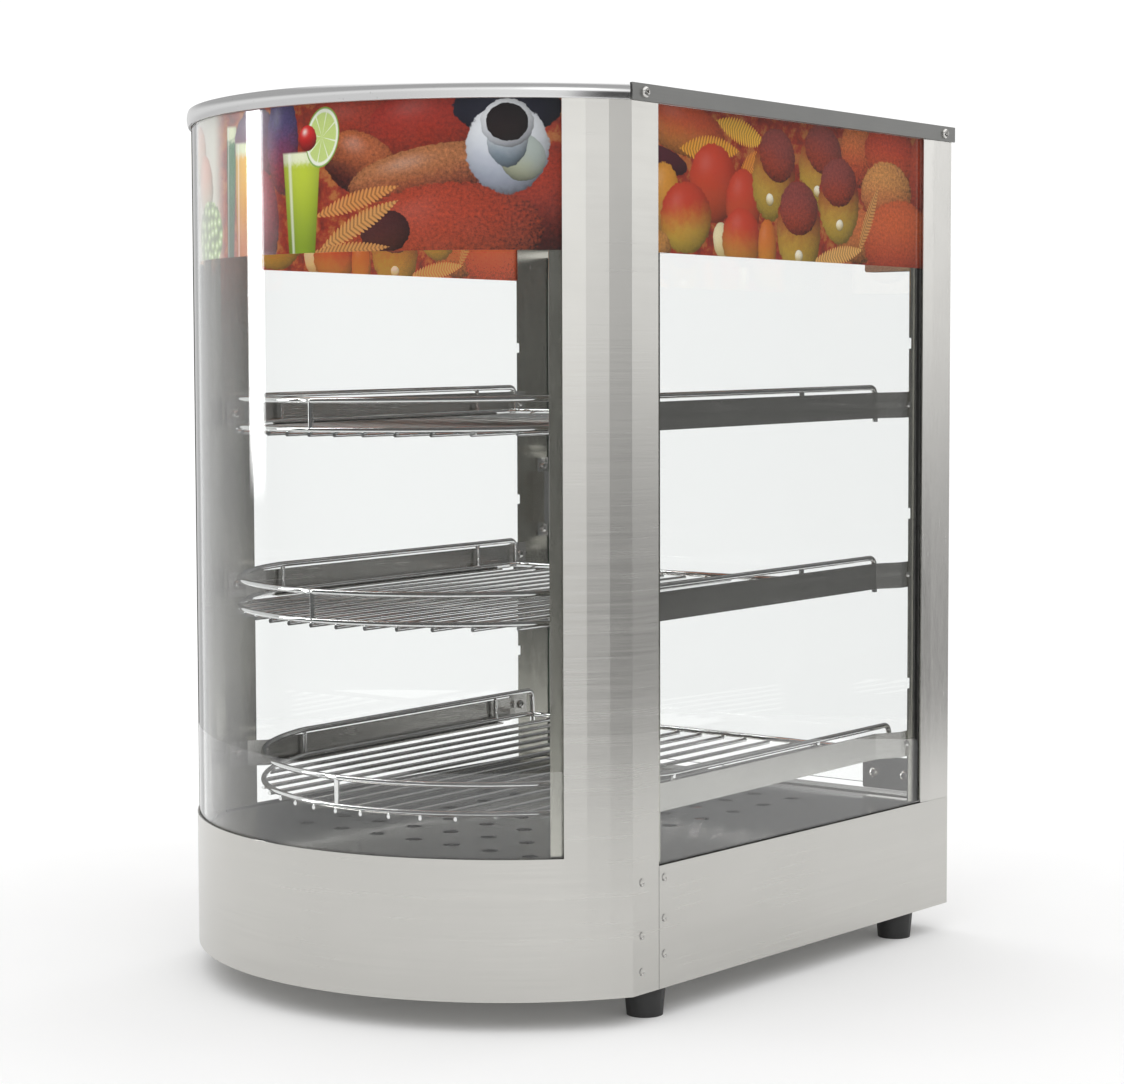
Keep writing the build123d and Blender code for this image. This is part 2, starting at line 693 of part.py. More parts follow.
with BuildPart() as top_trim:
    trim_angle = math.degrees(math.asin(HALF / ARC)) - TRIM_END_GAP
    start_x, start_y = arc_point(ARC, trim_angle)
    section = Plane(
        origin=(start_x, start_y, COVER_BOTTOM),
        x_dir=(start_x, start_y - ARC_Y, 0),
        z_dir=(start_y - ARC_Y, -start_x, 0),
    )
    with BuildSketch(section):
        with BuildLine():
            Line((0, 0), (0, COVER_DEPTH))
            Line((0, COVER_DEPTH), (TRIM_FLAT, COVER_DEPTH))
            ThreePointArc((TRIM_FLAT, COVER_DEPTH), (TRIM_OVERHANG, COVER_DEPTH / 2), (TRIM_FLAT, 0))
            Line((TRIM_FLAT, 0), (0, 0))
        make_face()
    revolve(axis=Axis((0, ARC_Y, 0), (0, 0, 1)), revolution_arc=-2 * trim_angle)
save(top_trim.part, "top_trim")

rail_front = BEND - RAIL_FRONT_OVERHANG
rail_rear = REAR + RAIL_REAR_OVERHANG
for side, sign in SIGNS.items():
    with BuildPart() as top_rail:
        with BuildSketch(Plane.XY.offset(COVER_BOTTOM)):
            with Locations((sign * (HALF + RAIL_THICKNESS / 2), (rail_front + rail_rear) / 2)):
                Rectangle(RAIL_THICKNESS, rail_rear - rail_front)
        extrude(amount=COVER_DEPTH)
        cut_rail_screw_holes()
    save(top_rail.part, f"top_rail_{side}")
save(pan_screws(rail_screw_planes, RAIL_THICKNESS + 2 * SHEET), "rail_screws")

# ---- rear header and lamp -----------------------------------------------------------------
header_half = HALF - POST_RETURN - SHEET
bush_outer = HINGE_PIN_RADIUS + HINGE_FIT + BUSH_WALL
with BuildPart() as rear_header:
    with BuildSketch(Plane.XY.offset(HEADER_BOTTOM)):
        with Locations((0, REAR - SHEET / 2)):
            Rectangle(2 * header_half, SHEET)
    extrude(amount=COVER_BOTTOM - HEADER_BOTTOM)
    with BuildSketch(Plane.XY.offset(HEADER_BOTTOM)):
        with Locations((0, REAR - SILL_DEPTH / 2)):
            Rectangle(2 * (INNER_POST_X - SHEET), SILL_DEPTH)
        with Locations((HINGE_X, HINGE_Y)):
            Circle(bush_outer, mode=Mode.SUBTRACT)
    extrude(amount=SHEET)
save(rear_header.part, "rear_header")

lamp_y = REAR - LAMP_BACK
lamp_mount_y = REAR - SHEET - FIT_GAP
lamp_frame = LAMP_LENGTH + 4 * LAMP_RADIUS
with BuildPart() as lamp_holder:
    with BuildSketch(Plane.XY.offset(LAMP_HEIGHT + LAMP_RADIUS + GLASS_GAP)):
        with Locations((0, (lamp_y - LAMP_RADIUS + lamp_mount_y) / 2)):
            Rectangle(lamp_frame, lamp_mount_y - lamp_y + LAMP_RADIUS)
    extrude(amount=SHEET)
    with BuildSketch(Plane.XY.offset(LAMP_HEIGHT - LAMP_RADIUS)):
        with Locations((0, lamp_mount_y - SHEET / 2)):
            Rectangle(lamp_frame, SHEET)
        for s in (-1, 1):
            with Locations((s * (LAMP_LENGTH / 2 + LAMP_RADIUS + GLASS_GAP), lamp_y)):
                Rectangle(2 * LAMP_RADIUS, 2 * LAMP_RADIUS)
    extrude(amount=2 * LAMP_RADIUS + GLASS_GAP)
save(lamp_holder.part, "lamp_holder")

with BuildPart() as lamp_tube:
    with BuildSketch(across(-LAMP_LENGTH / 2, lamp_y, LAMP_HEIGHT)):
        Circle(LAMP_RADIUS - GLASS_GAP)
    extrude(amount=LAMP_LENGTH)
    fillet(lamp_tube.edges().filter_by(GeomType.CIRCLE), radius=LAMP_END_RADIUS)
save(lamp_tube.part, "lamp_tube")

# ---- rear door ----------------------------------------------------------------------------
clamp_bottoms = {"lower": DOOR_BOTTOM, "upper": DOOR_TOP - CLAMP_HEIGHT}
clamp_screw_places = [
    (CLAMP_SCREW_X + i * CLAMP_SCREW_PITCH, bottom + CLAMP_HEIGHT / 2)
    for bottom in clamp_bottoms.values()
    for i in (0, 1)
]
handle_x = -(DOOR_HALF - HANDLE_INSET)
handle_screw_places = [(handle_x, HANDLE_HEIGHT + s * HANDLE_PITCH / 2) for s in (-1, 1)]


def cut_door_screw_holes():
    """Holes through the door's glass, clamps and handle for their screws."""
    with Locations(*[facing_rear(x, DOOR_IN, z) for x, z in clamp_screw_places + handle_screw_places]):
        Cylinder(SCREW_SHANK + FIT_GAP, 2 * HANDLE_SCREW, mode=Mode.SUBTRACT)


with BuildPart() as door_glass:
    with BuildSketch(facing_rear(0, DOOR_OUT, (DOOR_BOTTOM + DOOR_TOP) / 2)):
        Rectangle(2 * DOOR_HALF, DOOR_TOP - DOOR_BOTTOM - 2 * CLAMP_WEB)
    extrude(amount=-DOOR_GLASS)
    chamfer(door_glass.edges().filter_by(Axis.Z), length=DOOR_EDGE_CHAMFER)
    cut_door_screw_holes()
save(door_glass.part, "door_glass")

clamp_out = DOOR_OUT + CLAMP_PAD + CLAMP_PLATE
clamp_in = DOOR_IN - CLAMP_PAD - CLAMP_PLATE
for name, bottom in clamp_bottoms.items():
    slot_middle = bottom + CLAMP_HEIGHT / 2 + (CLAMP_WEB if name == "lower" else -CLAMP_WEB)
    with BuildPart() as clamp:
        with BuildSketch(facing_rear(CLAMP_CENTRE, clamp_out, bottom + CLAMP_HEIGHT / 2)):
            RectangleRounded(CLAMP_WIDTH, CLAMP_HEIGHT, CLAMP_CORNER)
        extrude(amount=clamp_in - clamp_out)
        with BuildSketch(facing_rear(CLAMP_CENTRE, DOOR_OUT + CLAMP_PAD, slot_middle)):
            Rectangle(2 * CLAMP_WIDTH, CLAMP_HEIGHT)
        extrude(amount=-DOOR_GLASS - 2 * CLAMP_PAD, mode=Mode.SUBTRACT)
        with Locations((HINGE_X, HINGE_Y, bottom + CLAMP_HEIGHT / 2)):
            Cylinder(HINGE_PIN_RADIUS + PRESS_GAP, 2 * CLAMP_HEIGHT, mode=Mode.SUBTRACT)
        cut_door_screw_holes()
    save(clamp.part, f"hinge_clamp_{name}")

with BuildPart() as hinge_pins:
    for low in (BASE_SIDE_TOP - SHEET, DOOR_TOP - CLAMP_WEB + FIT_GAP):
        with BuildSketch(Plane.XY.offset(low)):
            with Locations((HINGE_X, HINGE_Y)):
                Circle(HINGE_PIN_RADIUS)
        extrude(amount=HINGE_PIN_LENGTH)
save(hinge_pins.part, "hinge_pins")

with BuildPart() as hinge_bushes:
    for low, flange_low in (
        (BASE_SIDE_TOP - SHEET, BASE_SIDE_TOP),
        (HEADER_BOTTOM, HEADER_BOTTOM - BUSH_FLANGE),
    ):
        with BuildSketch(Plane.XY.offset(low)):
            with Locations((HINGE_X, HINGE_Y)):
                Circle(bush_outer - PRESS_GAP)
        extrude(amount=SHEET)
        with BuildSketch(Plane.XY.offset(flange_low)):
            with Locations((HINGE_X, HINGE_Y)):
                Circle(bush_outer + BUSH_WALL)
        extrude(amount=BUSH_FLANGE)
    with Locations((HINGE_X, HINGE_Y, CASE_HEIGHT / 2)):
        Cylinder(HINGE_PIN_RADIUS + HINGE_FIT, CASE_HEIGHT, mode=Mode.SUBTRACT)
save(hinge_bushes.part, "hinge_bushes")

with BuildPart() as door_handle:
    bar_y = REAR + HANDLE_PROJECTION - HANDLE_BAR / 2
    foot_y = DOOR_OUT + FIT_GAP
    low = HANDLE_HEIGHT - HANDLE_PITCH / 2
    high = HANDLE_HEIGHT + HANDLE_PITCH / 2
    handle_plane = Plane(origin=(handle_x, 0, 0), x_dir=(0, 1, 0), z_dir=(1, 0, 0))
    with BuildLine(handle_plane) as handle_path:
        FilletPolyline((foot_y, low), (bar_y, low), (bar_y, high), (foot_y, high), radius=HANDLE_BEND)
    with BuildSketch(facing_rear(handle_x, foot_y, low)):
        Circle(HANDLE_BAR / 2)
    sweep(path=handle_path.line)
    cut_door_screw_holes()
save(door_handle.part, "door_handle")

front_facing = {"x_dir": (1, 0, 0), "z_dir": (0, -1, 0)}
clamp_screw_planes = [Plane(origin=(x, clamp_in, z), **front_facing) for x, z in clamp_screw_places]
handle_screw_planes = [Plane(origin=(x, DOOR_IN, z), **front_facing) for x, z in handle_screw_places]
door_screws = pan_screws(clamp_screw_planes, clamp_out - clamp_in - CLAMP_PAD)
door_screws += pan_screws(handle_screw_planes, HANDLE_SCREW - CLAMP_PAD)
save(door_screws, "door_screws")

# ---- door catch ---------------------------------------------------------------------------
catch_face = -(INNER_POST_X - SHEET / 2 - FIT_GAP)
catch_rear = REAR - CATCH_BACK
magnet_x = catch_face + CATCH_BODY_WIDE / 2
with BuildPart() as catch_body:
    with BuildSketch(across(catch_face, REAR - CATCH_EAR_Y, CATCH_HEIGHT)):
        Rectangle(CATCH_EAR_DEEP, CATCH_EAR_TALL)
    extrude(amount=SHEET)
    with BuildSketch(across(catch_face, catch_rear - CATCH_BODY_DEEP / 2, CATCH_HEIGHT)):
        Rectangle(CATCH_BODY_DEEP, CATCH_BODY_TALL)
    extrude(amount=CATCH_BODY_WIDE)
    with Locations(facing_rear(magnet_x, catch_rear, CATCH_HEIGHT)):
        Cylinder(MAGNET_RADIUS + PRESS_GAP, 2 * MAGNET_DEPTH, mode=Mode.SUBTRACT)
    cut_screw_holes(catch_screw_places, CATCH_BODY_WIDE)
save(catch_body.part, "catch_body")

with BuildPart() as catch_magnet:
    with BuildSketch(facing_rear(magnet_x, catch_rear + CATCH_STAND, CATCH_HEIGHT)):
        Circle(MAGNET_RADIUS)
    extrude(amount=-MAGNET_DEPTH)
save(catch_magnet.part, "catch_magnet")

with BuildPart() as door_strike:
    with BuildSketch(facing_rear(magnet_x, DOOR_IN, CATCH_HEIGHT)):
        RectangleRounded(CATCH_BODY_WIDE - 2 * STRIKE_MARGIN, CATCH_BODY_DEEP, STRIKE_CORNER)
    extrude(amount=-STRIKE_THICKNESS)
save(door_strike.part, "door_strike")

# ---- shelf strips and the screws in the posts -------------------------------------------------
for level in SHELF_HEIGHTS:
    plane = shelf_plane(level)
    for side, sign in SIGNS.items():
        web_line = [
            (TAB_X, along(STRIP_FRONT_TAB)),
            (TAB_X, along(STRIP_FRONT_BEND)),
            (STRIP_HALF, along(STRIP_FRONT_STRAIGHT)),
            (STRIP_HALF, along(STRIP_REAR_STRAIGHT)),
            (TAB_X, along(STRIP_REAR_BEND)),
            (TAB_X, along(STRIP_REAR_TAB)),
        ]
        ledge_middle = along((LEDGE_FRONT + LEDGE_REAR) / 2)
        with BuildPart() as strip:
            with BuildSketch(plane):
                with BuildLine():
                    Polyline(*mirror_x(folded_strip(web_line, SHEET), sign), close=True)
                make_face()
            extrude(amount=STRIP_TALL)
            with BuildSketch(plane):
                with Locations((sign * (STRIP_HALF - STRIP_LEDGE / 2), ledge_middle)):
                    Rectangle(STRIP_LEDGE, LEDGE_FRONT - LEDGE_REAR)
            extrude(amount=SHEET)
            cut_screw_holes(tab_screw_places(sign * TAB_X), 2 * SHEET)
        save(strip.part, f"rack_strip_{level}_{side}")

tab_face = TAB_X - SHEET / 2
post_screw_planes = [
    across(*place, -sign) for sign in (-1, 1) for place in tab_screw_places(sign * tab_face)
]
post_screw_planes += [across(catch_face + SHEET, y, z) for _, y, z in catch_screw_places]
save(pan_screws(post_screw_planes, 2 * SHEET + 2 * FIT_GAP), "post_screws")

# ---- wire racks -------------------------------------------------------------------------------
corner_side = RACK_HALF - RACK_CORNER
corner_reach = math.sqrt((RACK_ARC - RACK_CORNER) ** 2 - corner_side**2)
corner_angle = math.atan2(-corner_reach, corner_side)
touch_x = RACK_ARC * math.cos(corner_angle)


def rim_depth(x):
    """How far the rim's front edge lies behind its foremost point at a given X."""
    if abs(x) <= touch_x:
        return RACK_ARC - math.sqrt(RACK_ARC**2 - x**2)
    beside = abs(x) - corner_side
    return RACK_ARC - corner_reach - math.sqrt(RACK_CORNER**2 - beside**2)


def rim_front(front):
    """Front half of a rim: both straight sides' ends joined by corners and a wide arc."""
    side_end = front + RACK_ARC - corner_reach
    turn = math.sin(corner_angle / 2)
    lean = math.cos(corner_angle / 2)
    touch_y = front + rim_depth(touch_x)
    middle = (corner_side + RACK_CORNER * lean, side_end + RACK_CORNER * turn)
    ThreePointArc((RACK_HALF, side_end), middle, (touch_x, touch_y))
    ThreePointArc((touch_x, touch_y), (0, front), (-touch_x, touch_y))
    ThreePointArc((-touch_x, touch_y), (-middle[0], middle[1]), (-RACK_HALF, side_end))


def sweep_wire(path, diameter):
    """Round wire along a path, added to the part that is being built."""
    with BuildSketch(Plane(origin=path @ 0, z_dir=path % 0)) as section:
        Circle(diameter / 2)
    sweep(sections=section.sketch, path=path)


lower_rim = SHEET + RIM_WIRE / 2 + LEDGE_FIT
upper_rim = lower_rim + RIM_SPACING
floor_level = lower_rim - (RIM_WIRE + FLOOR_WIRE) / 2 + WELD_BITE
for level, rear_distance in RACK_REAR.items():
    base = shelf_plane(level)
    rear = along(rear_distance)
    front = rear - RACK_LENGTH
    cross = rear - RIM_WIRE + WELD_BITE
    side_end = front + RACK_ARC - corner_reach
    with BuildPart() as rack:
        with BuildLine(base.offset(upper_rim)) as top_path:
            Line((RACK_HALF, rear - RACK_REAR_BEND), (RACK_HALF, side_end))
            rim_front(front)
            Line((-RACK_HALF, side_end), (-RACK_HALF, rear - RACK_REAR_BEND))
        sweep_wire(top_path.line, RIM_WIRE)
        with BuildLine(base.offset(lower_rim)) as low_path:
            Line((RACK_HALF, side_end + RIM_CORNER), (RACK_HALF, side_end))
            rim_front(front)
            Line((-RACK_HALF, side_end), (-RACK_HALF, side_end + RIM_CORNER))
        sweep_wire(low_path.line, RIM_WIRE)
        with BuildLine(base.offset(lower_rim)) as rear_path:
            FilletPolyline(
                (RACK_HALF, side_end + RIM_CORNER - WELD_BITE),
                (RACK_HALF, cross),
                (-RACK_HALF, cross),
                (-RACK_HALF, side_end + RIM_CORNER - WELD_BITE),
                radius=RIM_CORNER,
            )
        sweep_wire(rear_path.line, RIM_WIRE)
        for sign in (-1, 1):
            upright = Plane(
                origin=base.from_local_coords(Vector(sign * RACK_HALF, rear, 0)),
                x_dir=base.y_dir,
                z_dir=base.x_dir,
            )
            with BuildLine(upright) as hook_path:
                FilletPolyline(
                    (-RACK_REAR_BEND - WELD_BITE, upper_rim),
                    (0, upper_rim),
                    (0, lower_rim - RACK_LEG_DROP),
                    radius=RACK_HOOK_BEND,
                )
            sweep_wire(hook_path.line, RIM_WIRE)
        leg_places = [
            (0, front),
            (-RACK_HALF, rear - RACK_CORNER_LEG),
            (RACK_HALF, rear - RACK_CORNER_LEG),
            (-RACK_HALF, rear - RACK_MID_LEG_LEFT),
            (RACK_HALF, rear - RACK_MID_LEG_RIGHT),
        ]
        with BuildSketch(base.offset(lower_rim)):
            with Locations(*leg_places):
                Circle(LEG_WIRE / 2)
        extrude(amount=RIM_SPACING)
        for count in range(-FLOOR_SIDE_COUNT, FLOOR_SIDE_COUNT + 1):
            x = count * FLOOR_PITCH
            wire_start = front + rim_depth(x) - WIRE_END
            start = base.from_local_coords(Vector(x, wire_start, floor_level))
            with BuildSketch(Plane(origin=start, x_dir=base.x_dir, z_dir=base.y_dir)):
                Circle(FLOOR_WIRE / 2)
            extrude(amount=cross + WIRE_END - wire_start)
    save(rack.part, f"rack_{level}")

# ---- controls on the rear panel ---------------------------------------------------------------
panel_out = REAR
panel_in = REAR - SHEET
with BuildPart() as thermostat_body:
    width, height, depth = THERMOSTAT_SIZE
    with BuildSketch(facing_rear(KNOB_X, panel_in - FIT_GAP, CONTROL_HEIGHT)):
        Rectangle(width, height)
    extrude(amount=-depth)
    with Locations(facing_rear(KNOB_X, panel_in, CONTROL_HEIGHT)):
        Cylinder(SHAFT_RADIUS + HINGE_FIT, depth, mode=Mode.SUBTRACT)
save(thermostat_body.part, "thermostat_body")

knob_back = panel_out + KNOB_GAP
with BuildPart() as thermostat_shaft:
    with BuildSketch(facing_rear(KNOB_X, knob_back + KNOB_DEPTH / 2, CONTROL_HEIGHT)):
        Circle(SHAFT_RADIUS)
    extrude(amount=-KNOB_DEPTH / 2 - KNOB_GAP - SHEET - THERMOSTAT_SIZE[2] / 3)
save(thermostat_shaft.part, "thermostat_shaft")

with BuildPart() as knob:
    with BuildSketch(facing_rear(KNOB_X, knob_back, CONTROL_HEIGHT)):
        Circle(KNOB_RADIUS)
    extrude(amount=KNOB_SKIRT)
    with BuildSketch(facing_rear(KNOB_X, knob_back + KNOB_SKIRT, CONTROL_HEIGHT)):
        Circle(KNOB_RADIUS - KNOB_STEP)
    extrude(amount=KNOB_DEPTH - KNOB_SKIRT, taper=KNOB_TAPER)
    with BuildSketch(facing_rear(KNOB_X, knob_back + KNOB_DEPTH, CONTROL_HEIGHT)):
        with Locations((KNOB_RADIUS, 0), (-KNOB_RADIUS, 0)):
            Rectangle(2 * KNOB_RADIUS - KNOB_GRIP, 2 * KNOB_RADIUS)
    extrude(amount=KNOB_SKIRT - KNOB_DEPTH, mode=Mode.SUBTRACT)
    fillet(knob.faces().sort_by(Axis.Y)[-1].edges(), radius=KNOB_EDGE_RADIUS)
    with Locations(facing_rear(KNOB_X, knob_back, CONTROL_HEIGHT)):
        Cylinder(SHAFT_RADIUS + PRESS_GAP, KNOB_DEPTH + 2 * FIT_GAP, mode=Mode.SUBTRACT)
save(knob.part, "thermostat_knob")

rocker_width, rocker_height = ROCKER_OPENING
rocker_axis_y = panel_out + BEZEL_HEIGHT
with BuildPart() as switch_housings:
    for x in (POWER_X, LIGHT_X):
        with BuildSketch(facing_rear(x, panel_out, CONTROL_HEIGHT)):
            bezel_growth = 2 * BEZEL_BORDER
            RectangleRounded(rocker_width + bezel_growth, rocker_height + bezel_growth, BEZEL_CORNER)
        extrude(amount=BEZEL_HEIGHT)
        with BuildSketch(facing_rear(x, panel_out, CONTROL_HEIGHT)):
            housing_growth = 2 * HOUSING_WALL - 2 * FIT_GAP
            Rectangle(rocker_width + housing_growth, rocker_height + housing_growth)
        extrude(amount=-HOUSING_DEPTH)
        with BuildSketch(facing_rear(x, rocker_axis_y, CONTROL_HEIGHT)):
            Rectangle(rocker_width, rocker_height)
        extrude(amount=-rocker_height / 2 - HOUSING_WALL, mode=Mode.SUBTRACT)
save(switch_housings.part, "switch_housings")

for name, x in (("power", POWER_X), ("light", LIGHT_X)):
    rocker_radius = rocker_height / 2 - ROCKER_GAP
    rocker_plane = Plane(
        origin=(x - rocker_width / 2 + ROCKER_GAP, rocker_axis_y, CONTROL_HEIGHT),
        x_dir=(0, math.sin(math.radians(ROCKER_TILT)), math.cos(math.radians(ROCKER_TILT))),
        z_dir=(1, 0, 0),
    )
    rise = math.tan(math.radians(ROCKER_TILT))
    with BuildPart() as rocker:
        with BuildSketch(rocker_plane):
            Circle(rocker_radius)
            with BuildLine():
                Polyline(
                    (-rocker_height, -ROCKER_CROWN - rise * rocker_height),
                    (0, -ROCKER_CROWN),
                    (rocker_height, -ROCKER_CROWN - rise * rocker_height),
                    (rocker_height, -2 * rocker_height),
                    (-rocker_height, -2 * rocker_height),
                    close=True,
                )
            make_face(mode=Mode.SUBTRACT)
        extrude(amount=rocker_width - 2 * ROCKER_GAP)
    save(rocker.part, f"{name}_rocker")

with BuildPart() as pilot_lamp:
    with BuildSketch(facing_rear(PILOT_X, panel_out, CONTROL_HEIGHT)):
        Circle(PILOT_RADIUS)
    extrude(amount=PILOT_RADIUS / 2, taper=PILOT_TAPER)
    with BuildSketch(facing_rear(PILOT_X, panel_out, CONTROL_HEIGHT)):
        Circle(PILOT_RADIUS - PILOT_LIP - FIT_GAP)
    extrude(amount=-HOUSING_DEPTH)
save(pilot_lamp.part, "pilot_lamp")

with BuildPart() as cable_gland:
    with BuildSketch(facing_rear(GLAND_X, panel_out, GLAND_Z)):
        RegularPolygon(GLAND_OUTER, 6)
    extrude(amount=GLAND_FACE)
    with BuildSketch(facing_rear(GLAND_X, panel_out, GLAND_Z)):
        Circle(GLAND_OUTER - GLAND_LIP - FIT_GAP)
    extrude(amount=-(GLAND_LENGTH - GLAND_FACE))
    with BuildSketch(facing_rear(GLAND_X, panel_out + GLAND_FACE, GLAND_Z)):
        Circle(GLAND_BORE)
    extrude(amount=-GLAND_LENGTH, mode=Mode.SUBTRACT)
save(cable_gland.part, "cable_gland")

with BuildPart() as terminal_block:
    block_floor = FOOT_HEIGHT + SHEET + FIT_GAP
    with BuildSketch(Plane.XY.offset(block_floor)):
        with Locations((GLAND_X + TERMINAL_OFFSET, REAR - 2 * TERMINAL_OFFSET)):
            Rectangle(TERMINAL_LENGTH, TERMINAL_WIDTH)
    extrude(amount=TERMINAL_WIDTH)
    with BuildSketch(Plane.XY.offset(block_floor + TERMINAL_WIDTH)):
        with Locations((GLAND_X + TERMINAL_OFFSET, REAR - 2 * TERMINAL_OFFSET)):
            with GridLocations(TERMINAL_LENGTH / TERMINAL_WAYS, TERMINAL_WIDTH / 2, TERMINAL_WAYS, 2):
                Circle(TERMINAL_HOLE)
    extrude(amount=-TERMINAL_WIDTH / 2, mode=Mode.SUBTRACT)
save(terminal_block.part, "terminal_block")

# ---- heater under the deck ---------------------------------------------------------------------
heater_plane = Plane.XY.offset(HEATER_HEIGHT)
bend_y = REAR - HEATER_FRONT
with BuildPart() as heater:
    with BuildLine(heater_plane) as heater_path:
        Line((HEATER_HALF, REAR - HEATER_REAR), (HEATER_HALF, bend_y))
        ThreePointArc((HEATER_HALF, bend_y), (0, bend_y - HEATER_HALF), (-HEATER_HALF, bend_y))
        Line((-HEATER_HALF, bend_y), (-HEATER_HALF, REAR - HEATER_REAR))
    sweep_wire(heater_path.line, 2 * HEATER_TUBE)
save(heater.part, "heater_element")

with BuildPart() as heater_clips:
    for x in (-HEATER_HALF, HEATER_HALF):
        for y in (REAR - HEATER_REAR - HEATER_LOOP, REAR - HEATER_FRONT + HEATER_LOOP):
            with BuildSketch(Plane(origin=(x, y, HEATER_HEIGHT), x_dir=(1, 0, 0), z_dir=(0, -1, 0))):
                Circle(HEATER_TUBE + SHEET + FIT_GAP)
                with Locations((0, (block_floor - HEATER_HEIGHT) / 2)):
                    Rectangle(2 * SHEET, HEATER_HEIGHT - block_floor)
                with Locations((0, block_floor - HEATER_HEIGHT + SHEET / 2)):
                    Rectangle(4 * HEATER_TUBE, SHEET)
                Circle(HEATER_TUBE + FIT_GAP, mode=Mode.SUBTRACT)
            extrude(amount=CLIP_WIDTH)
save(heater_clips.part, "heater_clips")
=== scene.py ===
"""Looks of a countertop hot food display case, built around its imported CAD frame.

The case stands on a pale floor with its curved glass towards -Y.  The CAD nodes keep their
shape and get the finishes below; the screw heads, welds and dial marks are made here.
"""

import json
import logging
import math
from dataclasses import dataclass
from enum import Enum

import bmesh
import bpy
from mathutils import Euler, Matrix, Vector

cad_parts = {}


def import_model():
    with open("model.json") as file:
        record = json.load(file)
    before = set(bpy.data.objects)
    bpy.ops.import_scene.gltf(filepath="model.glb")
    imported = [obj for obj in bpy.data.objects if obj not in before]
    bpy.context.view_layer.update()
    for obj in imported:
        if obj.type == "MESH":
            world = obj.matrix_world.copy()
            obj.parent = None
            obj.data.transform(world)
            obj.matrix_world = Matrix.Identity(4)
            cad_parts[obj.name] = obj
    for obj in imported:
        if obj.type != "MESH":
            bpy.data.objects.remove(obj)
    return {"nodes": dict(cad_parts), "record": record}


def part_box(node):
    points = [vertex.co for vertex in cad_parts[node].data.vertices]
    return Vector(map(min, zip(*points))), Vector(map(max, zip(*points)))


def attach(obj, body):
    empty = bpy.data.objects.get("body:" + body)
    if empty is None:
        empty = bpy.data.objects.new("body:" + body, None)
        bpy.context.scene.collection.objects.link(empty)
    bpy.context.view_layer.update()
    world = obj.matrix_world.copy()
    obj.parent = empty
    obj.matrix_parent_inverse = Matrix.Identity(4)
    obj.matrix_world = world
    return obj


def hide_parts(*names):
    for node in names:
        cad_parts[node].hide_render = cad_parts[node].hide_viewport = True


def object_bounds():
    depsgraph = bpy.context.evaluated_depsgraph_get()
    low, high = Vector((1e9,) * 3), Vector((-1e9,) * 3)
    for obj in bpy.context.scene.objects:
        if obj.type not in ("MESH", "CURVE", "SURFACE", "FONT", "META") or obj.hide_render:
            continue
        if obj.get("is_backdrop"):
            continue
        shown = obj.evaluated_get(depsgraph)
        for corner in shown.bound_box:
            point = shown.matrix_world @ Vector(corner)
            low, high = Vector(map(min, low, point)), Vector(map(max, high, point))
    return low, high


LOG = logging.getLogger("display_case")
MM = 0.001

Colour = tuple[float, float, float]
Point = tuple[float, float, float]
Socket = bpy.types.NodeSocket
Stops = tuple[tuple[float, float], ...]


class Grain(Enum):
    """Which way the polishing belt ran, as noise scales per metre along X, Y and Z."""

    UPRIGHT = (620.0, 620.0, 95.0)
    LEVEL = (16.0, 16.0, 1300.0)
    CROSSWAYS = (16.0, 1200.0, 1200.0)


class Pane(Enum):
    """How a pane stands, which tells its faces from its edges."""

    SIDE = "side"
    DOOR = "door"
    CURVED = "curved"


class Band(Enum):
    """Which of the printed bands an artwork is laid out on."""

    FRONT = "front"
    LEFT = "left"
    RIGHT = "right"


# ---- short ways to build node trees -----------------------------------------------------


